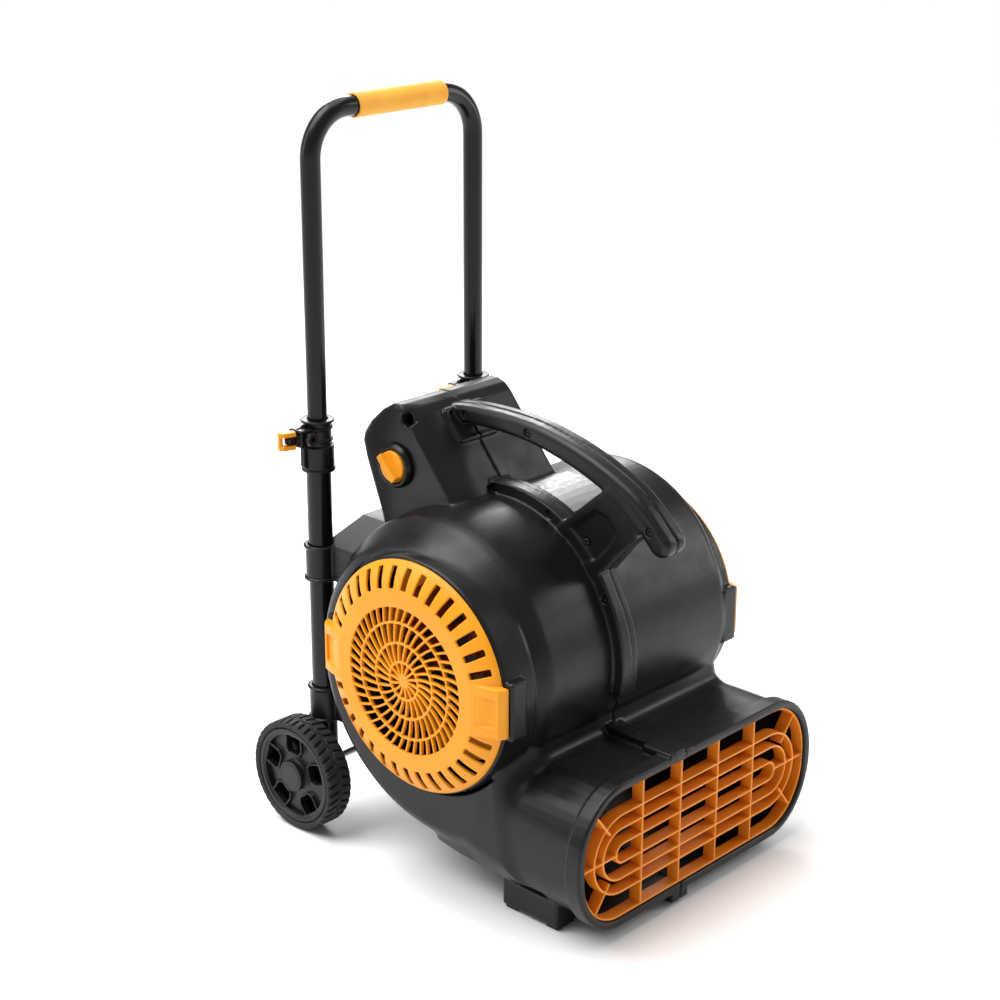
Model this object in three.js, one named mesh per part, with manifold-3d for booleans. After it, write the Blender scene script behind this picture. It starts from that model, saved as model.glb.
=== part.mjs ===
// Wheeled carpet and floor air mover: twin-intake centrifugal blower on a two-wheel trolley.
// Millimetres, +Z up, the air leaves towards -Y, the trolley stands at the back (+Y).
import * as THREE from 'three';
import { mergeVertices } from 'three/addons/utils/BufferGeometryUtils.js';
import Module from 'manifold-3d';

const wasm = await Module();
wasm.setup();

// ---------------------------------------------------------------- driving dimensions
const GAP = 0.3; // clearance between touching pieces
const WALL = 4; // moulded wall

// outlet duct
const OUTLET_X = 6; // middle of the outlet
const OUTLET_Y = -284; // front face of the outlet frame
const BAR_PITCH = 72.7; // vertical bars of the outlet grille
const DUCT_HALF_WIDTH = 224;
const DUCT_FLAT = 148; // half length of the flat top and bottom
const DUCT_TOP = 201;
const DUCT_BOTTOM = 22;
const FRAME_RISE = 6; // outlet frame stands proud of the duct
const FRAME_DEPTH = 24;

// moulding seam, in line with the second bar of the outlet grille
const SEAM_X = OUTLET_X - BAR_PITCH / 2;
const FLANGE_LEFT = 18.5; // width of the flange on each half
const FLANGE_RIGHT = 14;
const FLANGE_RISE = 16;
const FLANGE_STEP = 3; // the right half's flange stands lower
const FLANGE_FROM = -12;
const FLANGE_TO = 109;
const LIP_LEFT = 28; // the flange runs out along the top of the duct as a lip
const LIP_RIGHT = 15;
const LIP_RISE = 10;

// volute
const FAN_Y = -23;
const FAN_Z = 289;
const VOLUTE_START = 160; // radius up to VOLUTE_STEADY degrees
const VOLUTE_STEADY = 31;
const VOLUTE_GROW = 29.5; // in each quarter turn after that
const VOLUTE_FROM = -25;
const VOLUTE_TO = 285;
const VOLUTE_LEFT = -215; // flat side walls
const VOLUTE_RIGHT = 189;
const BEVEL_WIDTH = 54; // the left edge is a broad bevel
const BEVEL_DROP = 30;
const SHOULDER = 22; // the right edge is round
const FAR = 400; // beyond every piece

// intakes
const COLLAR_RADIUS = 150;
const COLLAR_BORE = 134;
const COLLAR_LENGTH = 11.7;
const COLLAR_DEPTH = 40; // into the side wall
const GRILLE_RADIUS = 147.5;
const GRILLE_DEPTH = 22; // the grille is domed: its middle stands this far off the collar
const GRILLE_WALL = 4;
const GRILLE_FLAT = 113; // outer radius of the flat face
const SLOT_COUNT = 36;
const SLOT_FROM = 117;
const SLOT_TO = 137;
const SLOT_HALF = 4.3;
const TAB_REACH = 154; // finger tabs, from the axis
const TAB_HALF = 32;
const DISH_HALF = 19; // dish in each tab
const BOSS_REACH = 158; // blocks behind the tabs
const BOSS_HALF = 37;
const BOSS_DEPTH = 15;
const SPIRAL_RADIUS = 95; // perforated middle
const SPIRAL_RINGS = [8, 24, 47, 71, SPIRAL_RADIUS];
const SPIRAL_CELLS = [6, 12, 16, 20];

// control box
const BOX_LEFT = -117;
const BOX_RIGHT = 65;
const BOX_FRONT = [20, 478.5]; // a point of its front face
const BOX_LEAN = 39.6; // degrees
const BOX_BEVEL = [35, 8]; // strip between the knob face and the front
const KNOB_Y = 119;
const KNOB_Z = 498;
const KNOB_RADIUS = 21;
const BEZEL_RADIUS = 29;

// trolley
const TUBE_Y = 209;
const TUBE_LEFT = -168;
const TUBE_RIGHT = 114;
const TUBE_MIDDLE = (TUBE_LEFT + TUBE_RIGHT) / 2;
const LOWER_RADIUS = 16;
const LOWER_BORE = 13.6;
const LOWER_TOP = 516;
const UPPER_RADIUS = 12.7;
const UPPER_BORE = 11.2;
const UPPER_BOTTOM = 408;
const BAR_Z = 934;
const CLAMP_Z = 533; // clamp bolt
const BOLT_X = -25; // from the tube
const PIN_X = -46; // lever pin, from the tube
const BEND_RADIUS = 58;
const GRIP_RADIUS = 15.6;
const GRIP_HALF = 76;
const GRIP_X = -21;
const WHEEL_RADIUS = 75;
const WHEEL_WIDTH = 40;
const WHEEL_OFFSET = 204; // outer wheel face from the middle of the trolley
const AXLE_RADIUS = 6;

// fan
const FAN_RADIUS = 130;
const FAN_BORE = 104;
const FAN_LEFT = -152;
const FAN_RIGHT = 120;
const FAN_MIDDLE = (VOLUTE_LEFT + VOLUTE_RIGHT) / 2;
const BLADE_COUNT = 24;
const SHAFT_RADIUS = 8;
const MOTOR_RADIUS = 62;
const MOTOR_LEFT = 34;
const MOTOR_RIGHT = 146;

const X_AXIS = new THREE.Vector3(1, 0, 0);
const Y_AXIS = new THREE.Vector3(0, 1, 0);
const Z_AXIS = new THREE.Vector3(0, 0, 1);

// ---------------------------------------------------------------- solids
function signedVolume(position, index) {
  let sum = 0;
  const [a, b, c] = [new THREE.Vector3(), new THREE.Vector3(), new THREE.Vector3()];
  for (let i = 0; i < index.length; i += 3) {
    a.fromBufferAttribute(position, index[i]);
    b.fromBufferAttribute(position, index[i + 1]);
    c.fromBufferAttribute(position, index[i + 2]);
    sum += a.dot(b.cross(c));
  }
  return sum / 6;
}

// a closed three.js geometry becomes a solid, with its faces turned outwards
function solid(geometry) {
  const bare = geometry.clone();
  bare.deleteAttribute('normal');
  bare.deleteAttribute('uv');
  const merged = mergeVertices(bare, 1e-3);
  const index = Array.from(merged.index.array);
  const corners = [];
  for (let i = 0; i < index.length; i += 3) {
    const [a, b, c] = index.slice(i, i + 3);
    if (a !== b && b !== c && a !== c) corners.push(a, b, c);
  }
  if (signedVolume(merged.attributes.position, corners) < 0) {
    for (let i = 0; i < corners.length; i += 3) {
      [corners[i], corners[i + 1]] = [corners[i + 1], corners[i]];
    }
  }
  const vertProperties = new Float32Array(merged.attributes.position.array);
  const triVerts = new Uint32Array(corners);
  return new wasm.Manifold(new wasm.Mesh({ numProp: 3, vertProperties, triVerts }));
}

function joined(pieces) {
  return pieces.reduce((whole, piece) => whole.add(piece));
}

function geometryOf(body) {
  const mesh = body.getMesh();
  const geometry = new THREE.BufferGeometry();
  geometry.setAttribute('position', new THREE.BufferAttribute(new Float32Array(mesh.vertProperties), 3));
  geometry.setIndex(new THREE.BufferAttribute(new Uint32Array(mesh.triVerts), 1));
  geometry.computeVertexNormals();
  return geometry;
}

function box(x0, x1, y0, y1, z0, z1) {
  const geometry = new THREE.BoxGeometry(x1 - x0, y1 - y0, z1 - z0);
  geometry.translate((x0 + x1) / 2, (y0 + y1) / 2, (z0 + z1) / 2);
  return solid(geometry);
}

// outline in (y, z), from x0 to x1; its ends are rounded over width, where the outline draws in by drop
function alongX(points, x0, x1, drop = 0, steps = 4, width = drop) {
  const shape = new THREE.Shape(points.map(([y, z]) => new THREE.Vector2(y, z)));
  const geometry = new THREE.ExtrudeGeometry(shape, {
    depth: x1 - x0 - 2 * width,
    bevelEnabled: drop > 0,
    bevelThickness: width,
    bevelSize: drop,
    bevelOffset: -drop,
    bevelSegments: steps,
  });
  geometry.applyMatrix4(new THREE.Matrix4().makeBasis(Y_AXIS, Z_AXIS, X_AXIS));
  geometry.translate(x0 + width, 0, 0);
  return solid(geometry);
}

// outline in (x, z), from y0 to y1
function alongY(points, y0, y1) {
  const shape = new THREE.Shape(points.map(([x, z]) => new THREE.Vector2(x, z)));
  const geometry = new THREE.ExtrudeGeometry(shape, { depth: y1 - y0, bevelEnabled: false });
  geometry.applyMatrix4(new THREE.Matrix4().makeBasis(X_AXIS, Z_AXIS, Y_AXIS.clone().negate()));
  geometry.translate(0, y1, 0);
  return solid(geometry);
}

// outline in (x, y), from z0 to z1
function alongZ(points, z0, z1) {
  const shape = new THREE.Shape(points.map(([x, y]) => new THREE.Vector2(x, y)));
  const geometry = new THREE.ExtrudeGeometry(shape, { depth: z1 - z0, bevelEnabled: false });
  geometry.translate(0, 0, z0);
  return solid(geometry);
}

// closed profile of (radius, x) turned about the line y, z
function turnedX(profile, y, z, sides) {
  const points = profile.map(([r, x]) => new THREE.Vector2(r, x));
  const geometry = new THREE.LatheGeometry(points, sides);
  geometry.applyMatrix4(new THREE.Matrix4().makeBasis(Y_AXIS, X_AXIS, Z_AXIS.clone().negate()));
  geometry.translate(0, y, z);
  return solid(geometry);
}

// closed profile of (radius, z) turned about the line x, y
function turnedZ(profile, x, y, sides) {
  const points = profile.map(([r, z]) => new THREE.Vector2(r, z));
  const geometry = new THREE.LatheGeometry(points, sides);
  geometry.applyMatrix4(new THREE.Matrix4().makeBasis(X_AXIS, Z_AXIS, Y_AXIS.clone().negate()));
  geometry.translate(x, y, 0);
  return solid(geometry);
}

function rodX(radius, x0, x1, y, z, sides = 24) {
  return turnedX([[0, x0], [radius, x0], [radius, x1], [0, x1]], y, z, sides);
}

function ringX(inner, outer, x0, x1, y, z, sides) {
  return turnedX([[inner, x0], [outer, x0], [outer, x1], [inner, x1], [inner, x0]], y, z, sides);
}

function rodY(radius, y0, y1, x, z, sides = 20) {
  const geometry = new THREE.CylinderGeometry(radius, radius, y1 - y0, sides);
  geometry.translate(x, (y0 + y1) / 2, z);
  return solid(geometry);
}

function ringZ(inner, outer, z0, z1, x, y, sides = 20) {
  return turnedZ([[inner, z0], [outer, z0], [outer, z1], [inner, z1], [inner, z0]], x, y, sides);
}

function rodZ(radius, z0, z1, x, y, sides = 20) {
  return turnedZ([[0, z0], [radius, z0], [radius, z1], [0, z1]], x, y, sides);
}

// a piece turned by angle about a line along X through y, z
function spunX(body, angle, y, z) {
  return body.translate([0, -y, -z]).rotate([THREE.MathUtils.radToDeg(angle), 0, 0]).translate([0, y, z]);
}

// ---------------------------------------------------------------- materials
function plastic(color, roughness) {
  return new THREE.MeshStandardMaterial({ color, roughness, metalness: 0 });
}

function metal(color, roughness) {
  return new THREE.MeshStandardMaterial({ color, roughness, metalness: 1 });
}

const BLACK = 0x2b2c2e;
const DARK = 0x1b1b1c;
const AMBER = 0xf5a623;
const ORANGE = 0xe8791e;
const STEEL = 0xb8babd;

const airMover = new THREE.Group();

function place(name, body, material, position = [0, 0, 0], rotation = [0, 0, 0]) {
  const mesh = new THREE.Mesh(geometryOf(body), material);
  mesh.name = name;
  mesh.position.set(...position);
  mesh.rotation.set(...rotation);
  airMover.add(mesh);
}

// ---------------------------------------------------------------- volute and duct outlines
// angle in degrees: 0 looks to the front, 90 up, 180 to the back, 270 down
function volutePoint(angle, rise = 0) {
  const turn = Math.max(angle - VOLUTE_STEADY, 0) / 90;
  const radius = VOLUTE_START + VOLUTE_GROW * turn + rise;
  const a = THREE.MathUtils.degToRad(angle);
  return [FAN_Y - radius * Math.cos(a), FAN_Z + radius * Math.sin(a)];
}

function voluteArc(from, to, step, rise) {
  const count = Math.round((to - from) / step);
  return Array.from({ length: count + 1 }, (_, i) => volutePoint(from + ((to - from) * i) / count, rise));
}

const DUCT_BACK = -205; // where the volute outline closes inside the duct
const BELLY = volutePoint(VOLUTE_TO);

function bottomHeight(y) {
  const neck = OUTLET_Y + FRAME_DEPTH;
  const part = (y - neck) / (BELLY[0] - neck);
  return DUCT_BOTTOM + part * (BELLY[1] - DUCT_BOTTOM);
}

function voluteOutline(rise) {
  return [...voluteArc(VOLUTE_FROM, VOLUTE_TO, 8, rise), [DUCT_BACK, bottomHeight(DUCT_BACK) - rise]];
}

function ductOutline(rise) {
  const middle = (DUCT_TOP + DUCT_BOTTOM) / 2;
  const half = (DUCT_TOP - DUCT_BOTTOM) / 2 + rise;
  const bulge = DUCT_HALF_WIDTH - DUCT_FLAT + rise;
  const points = [];
  for (const [start, side] of [[-90, 1], [90, -1]]) {
    for (let step = 0; step <= 12; step++) {
      const a = THREE.MathUtils.degToRad(start + step * 15);
      const out = bulge * Math.pow(Math.abs(Math.cos(a)), 0.95);
      points.push([OUTLET_X + side * (DUCT_FLAT + out), middle + half * Math.sin(a)]);
    }
  }
  return points;
}

function voluteBody(rise) {
  const outline = voluteOutline(rise);
  const leftEnd = alongX(outline, VOLUTE_LEFT - rise, FAR, BEVEL_DROP, 1, BEVEL_WIDTH);
  return leftEnd.intersect(alongX(outline, -FAR, VOLUTE_RIGHT + rise, SHOULDER + rise, 4));
}

function ductBody(rise, front) {
  const section = alongY(ductOutline(rise), front, FAN_Y);
  const neck = OUTLET_Y + FRAME_DEPTH;
  const side = alongX([
    [front, DUCT_BOTTOM - rise],
    [neck, DUCT_BOTTOM - rise],
    [BELLY[0], BELLY[1] - rise],
    [FAN_Y, BELLY[1] - rise],
    [FAN_Y, DUCT_TOP + rise],
    [front, DUCT_TOP + rise],
  ], -FAR, FAR);
  const plan = alongZ([
    [OUTLET_X - DUCT_HALF_WIDTH - rise, front],
    [OUTLET_X + DUCT_HALF_WIDTH + rise, front],
    [OUTLET_X + DUCT_HALF_WIDTH + rise, neck],
    [VOLUTE_RIGHT - 12 + rise, -110],
    [VOLUTE_RIGHT - 26 + rise, FAN_Y],
    [VOLUTE_LEFT + 20 - rise, FAN_Y],
    [VOLUTE_LEFT + 2 - rise, -110],
    [OUTLET_X - DUCT_HALF_WIDTH - rise, neck],
  ], -50, 400);
  return section.intersect(side).intersect(plan);
}

// ---------------------------------------------------------------- handle, control box, flange
// centre line of the carrying handle in the seam plane
const handleLine = new THREE.CatmullRomCurve3([
  new THREE.Vector3(0, 122, 550),
  new THREE.Vector3(0, 60, 560),
  new THREE.Vector3(0, -25, 560),
  new THREE.Vector3(0, -90, 549),
  new THREE.Vector3(0, -150, 530),
  new THREE.Vector3(0, -205, 503),
  new THREE.Vector3(0, -246, 465),
]);
const HANDLE_ROOT = 11.5; // half its height at the root and at the end
const HANDLE_END = 15.5;
const HANDLE_WIDE = 19; // half its width
const HANDLE_SCREWS = [0.14, 0.41, 0.95]; // along its length

function handleOutline() {
  const count = 14;
  const upper = [];
  const lower = [];
  for (let i = 0; i <= count; i++) {
    const point = handleLine.getPointAt(i / count);
    const ahead = handleLine.getTangentAt(i / count);
    const half = HANDLE_ROOT + ((HANDLE_END - HANDLE_ROOT) * i) / count;
    upper.push([point.y + ahead.z * half, point.z - ahead.y * half]);
    lower.push([point.y - ahead.z * half, point.z + ahead.y * half]);
  }
  const tip = handleLine.getPointAt(1);
  const ahead = handleLine.getTangentAt(1);
  const nose = [1, 2, 3, 4, 5].map((k) => {
    const out = HANDLE_END * Math.sin((k * Math.PI) / 6);
    const up = HANDLE_END * Math.cos((k * Math.PI) / 6);
    return [tip.y + ahead.y * out + ahead.z * up, tip.z + ahead.z * out - ahead.y * up];
  });
  return [...upper, ...nose, ...lower.reverse()];
}

function boxOutline(rise) {
  return [
    [-12 - rise, 440],
    [BOX_FRONT[0] - rise, BOX_FRONT[1] + rise],
    [92 - rise, 565.5 + rise],
    [101, 573 + rise],
    [114, 577.5 + rise],
    [127, 577 + rise],
    [147 + rise, 565 + rise],
    [168 + rise, 546 + rise],
    [180 + rise, 529],
    [183 + rise, 518],
    [177 + rise, 495],
    [150 + rise, 426],
    [140 + rise, 392 - rise],
    [0, 392 - rise],
  ];
}

// what the flat strip takes off the corner between the box's left face and its front
function boxBevel() {
  const [wide, deep] = BOX_BEVEL;
  const strip = alongZ([
    [BOX_LEFT - 10, -10], [BOX_LEFT + wide, -10], [BOX_LEFT + wide, 0],
    [BOX_LEFT, deep], [BOX_LEFT - 10, deep + (10 * deep) / wide],
  ], -80, 140);
  return strip.rotate([-BOX_LEAN, 0, 0]).translate([0, ...BOX_FRONT]);
}

const SCREW_ANGLES = [-13, 31, 73, 102];

// proud flange on both sides of the seam, and the lip it becomes on the duct
function flangeBody(rise) {
  const strips = [
    [SEAM_X - FLANGE_LEFT - rise, SEAM_X, 0],
    [SEAM_X, SEAM_X + FLANGE_RIGHT + rise, FLANGE_STEP],
  ].map(([x0, x1, step]) => {
    const outer = voluteArc(FLANGE_FROM, FLANGE_TO, 7, FLANGE_RISE - step + rise);
    return alongX([...outer, [FAN_Y, FAN_Z]], x0, x1);
  });
  const [low, high] = [DUCT_TOP - 6, DUCT_TOP + LIP_RISE + rise];
  return joined([
    ...strips,
    box(SEAM_X - LIP_LEFT - rise, SEAM_X, OUTLET_Y, FAN_Y, low, high),
    box(SEAM_X, SEAM_X + LIP_RIGHT + rise, OUTLET_Y, FAN_Y, low, high - FLANGE_STEP),
  ]);
}

const PEDESTAL_HALF = 20;

function pedestalBody() {
  return alongX([
    [-76, 438], [-101, 462], [-152.5, 507], [-175, 524], [-222, 482], [-212, 466], [-188, 444], [-127, 370],
  ], SEAM_X - PEDESTAL_HALF, SEAM_X + PEDESTAL_HALF, 3, 1);
}

const FOOT_BASE = 5; // the rubber pads are below
const FOOT_TOP = 70;

function footBlock(x0, x1, y0, y1) {
  return box(x0, x1, y0, y1, FOOT_BASE, FOOT_TOP);
}

const FOOT_X = [[-188, -150], [162, 200]];
const FOOT_Y = [-220, -131];

// a box given by its reach from the fan's axis on the front (side -1) or the back (side 1)
function radialBox(x0, x1, near, far, half, side) {
  const [a, b] = [side * near, side * far];
  return box(x0, x1, Math.min(a, b), Math.max(a, b), -half, half);
}

// square block behind each finger tab of the intake grille that faces side
function tabBosses(wall, side) {
  const ends = [wall - side * BOSS_DEPTH, wall + side * COLLAR_LENGTH];
  const [x0, x1] = [Math.min(...ends), Math.max(...ends)];
  const blocks = [-1, 1].map((end) => radialBox(x0, x1, COLLAR_BORE, BOSS_REACH, BOSS_HALF, end));
  return joined(blocks).translate([0, FAN_Y, FAN_Z]);
}

// ---------------------------------------------------------------- housing
const GLAND_X = -80;
const GLAND_Z = 470;
const GLAND_HOLE = 9.5;
const STEM_HOLE = 5;
const RECESS = [102, 560]; // round recess high on the box's left face
const RECESS_RADIUS = 8;

// assembly screws enter the left half: along the flange, along the handle and in the pedestal
const SCREW_POINTS = [
  ...SCREW_ANGLES.map((angle) => [...volutePoint(angle, FLANGE_RISE / 2), SEAM_X - FLANGE_LEFT]),
  ...HANDLE_SCREWS.map((part) => {
    const point = handleLine.getPointAt(part);
    return [point.y, point.z, SEAM_X - HANDLE_WIDE];
  }),
  [-135, 442, SEAM_X - PEDESTAL_HALF],
];

const drillings = joined([
  rodX(STEM_HOLE, BOX_LEFT - 10, BOX_LEFT + 10, KNOB_Y, KNOB_Z, 20),
  rodX(RECESS_RADIUS, BOX_LEFT - 10, BOX_LEFT + 14, ...RECESS, 20),
  rodY(GLAND_HOLE, 100, 260, GLAND_X, GLAND_Z),
  ...SCREW_POINTS.map(([y, z, x]) => rodX(5, x - 1, x + 7, y, z, 12)),
]);

const TOE_HALF = 16; // toe under the outlet frame at the seam
const TOE_DEPTH = 30;
const TOE_BASE = 4;

// scroll, outlet duct, intake collars, flange and feet, hollow inside
function scroll() {
  const frame = alongY(ductOutline(FRAME_RISE), OUTLET_Y, OUTLET_Y + FRAME_DEPTH);
  const toe = box(SEAM_X - TOE_HALF, SEAM_X + TOE_HALF, OUTLET_Y, OUTLET_Y + TOE_DEPTH, TOE_BASE, DUCT_BOTTOM + WALL);
  const outside = joined([
    voluteBody(0), ductBody(0, OUTLET_Y), frame, flangeBody(0), toe,
    rodX(COLLAR_RADIUS, VOLUTE_LEFT - COLLAR_LENGTH, VOLUTE_LEFT + COLLAR_DEPTH, FAN_Y, FAN_Z, 40),
    rodX(COLLAR_RADIUS, VOLUTE_RIGHT - COLLAR_DEPTH, VOLUTE_RIGHT + COLLAR_LENGTH, FAN_Y, FAN_Z, 40),
    tabBosses(VOLUTE_LEFT, -1), tabBosses(VOLUTE_RIGHT, 1),
    ...FOOT_X.map(([x0, x1]) => footBlock(x0, x1, ...FOOT_Y)),
  ]);
  const inside = joined([
    voluteBody(-WALL),
    ductBody(-WALL, OUTLET_Y - 1),
    rodX(COLLAR_BORE, -300, 300, FAN_Y, FAN_Z, 40),
  ]);
  return outside.subtract(inside);
}

// the box, the handle and its pedestal stand on the scroll, a hair's gap clear of it
const scrollRoom = voluteBody(GAP).add(flangeBody(GAP));

function controlBox() {
  const outside = alongX(boxOutline(0), BOX_LEFT, BOX_RIGHT, 5, 2);
  const pocket = alongX(boxOutline(-WALL), BOX_LEFT + WALL, BOX_RIGHT - WALL);
  return outside.subtract(pocket.subtract(boxBevel().translate([0, WALL, 0]))).subtract(boxBevel())
    .subtract(scrollRoom);
}

function carryHandle() {
  const bar = alongX(handleOutline(), SEAM_X - HANDLE_WIDE, SEAM_X + HANDLE_WIDE, 7, 2);
  const control = alongX(boxOutline(GAP), BOX_LEFT, BOX_RIGHT);
  return bar.add(pedestalBody()).subtract(control).subtract(scrollRoom);
}

const leftSide = box(-FAR, SEAM_X - GAP / 2, -FAR, FAR, 0, 2 * FAR);
const rightSide = box(SEAM_X + GAP / 2, FAR, -FAR, FAR, 0, 2 * FAR);
const mouldings = [['housing', scroll()], ['control_box', controlBox()], ['carry_handle', carryHandle()]];
for (const [name, body] of mouldings) {
  const drilled = body.subtract(drillings);
  place(`${name}_left`, drilled.intersect(leftSide), plastic(BLACK, 0.6));
  place(`${name}_right`, drilled.intersect(rightSide), plastic(BLACK, 0.6));
}

SCREW_POINTS.forEach(([y, z, x], i) => {
  place(`assembly_screw_${i + 1}`, rodX(4.6, x + 2, x + 6.7, y, z, 12), metal(0x3a3b3d, 0.4));
});

FOOT_X.forEach(([x0, x1], i) => {
  const pads = [[FOOT_Y[0] + 2, FOOT_Y[0] + 20], [FOOT_Y[1] - 20, FOOT_Y[1] - 2]];
  pads.forEach(([y0, y1], k) => {
    const pad = box(x0 + 3, x1 - 3, y0, y1, 0, FOOT_BASE - GAP);
    place(`foot_pad_${['left', 'right'][i]}_${['front', 'back'][k]}`, pad, plastic(DARK, 0.9));
  });
});

// rating plate, left blank, on the curve of the right half
const PLATE_ANGLES = [72, 98];
const PLATE_REACH = [20, 104]; // from the seam
const PLATE_RISE = 1.6;
const plateBack = voluteArc(...PLATE_ANGLES, 4, GAP);
const plateArc = [...plateBack, ...voluteArc(...PLATE_ANGLES, 4, PLATE_RISE).reverse()];
place('rating_plate', alongX(plateArc, ...PLATE_REACH.map((x) => SEAM_X + x)), metal(0x9a9c9e, 0.45));

// ---------------------------------------------------------------- outlet grille
function stadium(halfLength, halfHeight) {
  const middle = (DUCT_TOP + DUCT_BOTTOM) / 2;
  const points = [];
  for (const [start, side] of [[-90, 1], [90, -1]]) {
    for (let step = 0; step <= 6; step++) {
      const a = THREE.MathUtils.degToRad(start + step * 30);
      const x = side * (halfLength - halfHeight) + halfHeight * Math.cos(a);
      points.push([OUTLET_X + x, middle + halfHeight * Math.sin(a)]);
    }
  }
  return points;
}

function outletGrille() {
  const front = OUTLET_Y + 4;
  const back = OUTLET_Y + 22;
  const middle = (DUCT_TOP + DUCT_BOTTOM) / 2;
  const loops = [[198, 53], [182, 35], [158, 14]].map(([length, height]) => {
    const outer = alongY(stadium(length, height), front, back);
    return outer.subtract(alongY(stadium(length - 3, height - 3), front - 1, back + 1));
  });
  const bars = [-1.5, -0.5, 0.5, 1.5].map((k) => {
    const x = OUTLET_X + k * BAR_PITCH;
    return box(x - 1.5, x + 1.5, front, back, DUCT_BOTTOM, DUCT_TOP);
  });
  const ends = [-1, 1].flatMap((side) => {
    const x = OUTLET_X + side * 190;
    const spoke = box(x - 36, x + 36, front, back, middle - 1.5, middle + 1.5);
    const slant = (angle) => box(-23, 23, front, back, -1.5, 1.5)
      .rotate([0, angle, 0])
      .translate([OUTLET_X + side * 182, 0, middle - Math.sign(angle) * side * 50]);
    return [spoke, slant(52), slant(-52)];
  });
  const rim = alongY(ductOutline(-WALL - GAP), front, back)
    .subtract(alongY(ductOutline(-WALL - 3), front - 1, back + 1));
  const inside = alongY(ductOutline(-WALL - GAP), front, back);
  return joined([...loops, ...bars, ...ends]).intersect(inside).add(rim);
}

place('outlet_grille', outletGrille(), plastic(ORANGE, 0.5));

// ---------------------------------------------------------------- intake grilles
function sector(r0, r1, a0, a1, twist) {
  const at = (r, a) => new THREE.Vector2(r * Math.cos(a), r * Math.sin(a));
  return new THREE.Path([at(r0, a0), at(r1, a0 + twist), at(r1, a1 + twist), at(r0, a1)]);
}

// flat perforated middle: rings crossed by ribs that lean a little further in each ring
function spiralPlate() {
  const edge = [];
  for (let i = 0; i < SLOT_COUNT; i++) {
    const a = (i * 2 * Math.PI) / SLOT_COUNT;
    edge.push(new THREE.Vector2((SPIRAL_RADIUS + 3) * Math.cos(a), (SPIRAL_RADIUS + 3) * Math.sin(a)));
  }
  const shape = new THREE.Shape(edge);
  SPIRAL_CELLS.forEach((count, ring) => {
    const [r0, r1] = [SPIRAL_RINGS[ring] + 1.2, SPIRAL_RINGS[ring + 1] - 1.2];
    const pitch = (2 * Math.PI) / count;
    const half = pitch / 2 - 1.1 / r0;
    for (let i = 0; i < count; i++) {
      const a = i * pitch + 0.16 * ring;
      shape.holes.push(sector(r0, r1, a - half, a + half, 0.14));
    }
  });
  const geometry = new THREE.ExtrudeGeometry(shape, { depth: GRILLE_WALL, bevelEnabled: false });
  geometry.applyMatrix4(new THREE.Matrix4().makeBasis(Y_AXIS, Z_AXIS, X_AXIS));
  return solid(geometry);
}

// middle of the face at x = 0, back towards +x, centred on the axis
function intakeGrille() {
  const [middle, foot] = [(GRILLE_FLAT + GRILLE_RADIUS) / 2, GRILLE_RADIUS - 2 * GRILLE_WALL];
  const dome = turnedX([
    [SPIRAL_RADIUS, 0], [GRILLE_FLAT, 0.6], [middle, 6], [GRILLE_RADIUS, GRILLE_DEPTH - GRILLE_WALL],
    [GRILLE_RADIUS, GRILLE_DEPTH], [foot, GRILLE_DEPTH], [middle - 2, 6 + GRILLE_WALL],
    [GRILLE_FLAT - 1, 0.6 + GRILLE_WALL], [SPIRAL_RADIUS, GRILLE_WALL], [SPIRAL_RADIUS, 0],
  ], 0, 0, SLOT_COUNT);
  const slots = [];
  for (let i = 0; i < SLOT_COUNT; i++) {
    const fromTab = i % (SLOT_COUNT / 2);
    const hidden = fromTab < 2 || fromTab === SLOT_COUNT / 2 - 1;
    const slot = box(-5, 30, -SLOT_HALF, SLOT_HALF, SLOT_FROM, SLOT_TO);
    if (!hidden) slots.push(spunX(slot, (i * 2 * Math.PI) / SLOT_COUNT + Math.PI / 2, 0, 0));
  }
  // each tab slopes down with the dome to the plane of its rim
  const tabs = [-1, 1].map((side) => {
    const outside = [[0.3, GRILLE_FLAT - 4], [3, 131], [9, 149], [14, TAB_REACH], [GRILLE_DEPTH, TAB_REACH],
      [GRILLE_DEPTH, 141], [12, 134], [6, GRILLE_FLAT - 4]];
    const dish = [[-2, GRILLE_FLAT + 3], [-2, 144], [9.4, 144], [5, 131], [3.2, GRILLE_FLAT + 3]];
    const turned = (points) => points.map(([x, r]) => [x, side * r]);
    const sunk = alongZ(turned(dish), -DISH_HALF, DISH_HALF);
    return alongZ(turned(outside), -TAB_HALF, TAB_HALF).subtract(sunk);
  });
  return dome.subtract(joined(slots)).add(spiralPlate()).add(joined(tabs));
}

const grille = intakeGrille();
const GRILLE_LEFT_X = VOLUTE_LEFT - COLLAR_LENGTH - GRILLE_DEPTH - GAP;
const GRILLE_RIGHT_X = VOLUTE_RIGHT + COLLAR_LENGTH + GRILLE_DEPTH + GAP;
place('intake_grille_left', grille, plastic(AMBER, 0.45), [GRILLE_LEFT_X, FAN_Y, FAN_Z]);
place('intake_grille_right', grille, plastic(AMBER, 0.45), [GRILLE_RIGHT_X, FAN_Y, FAN_Z], [0, 0, Math.PI]);

// ---------------------------------------------------------------- motor and fan
function motor() {
  const can = turnedX([
    [0, MOTOR_LEFT], [30, MOTOR_LEFT], [48, MOTOR_LEFT + 4], [MOTOR_RADIUS, MOTOR_LEFT + 12],
    [MOTOR_RADIUS, MOTOR_RIGHT - 12], [48, MOTOR_RIGHT - 4], [30, MOTOR_RIGHT], [0, MOTOR_RIGHT],
  ], FAN_Y, FAN_Z, 24);
  return can.subtract(rodX(18, MOTOR_LEFT - 1, MOTOR_LEFT + 10, FAN_Y, FAN_Z));
}

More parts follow.
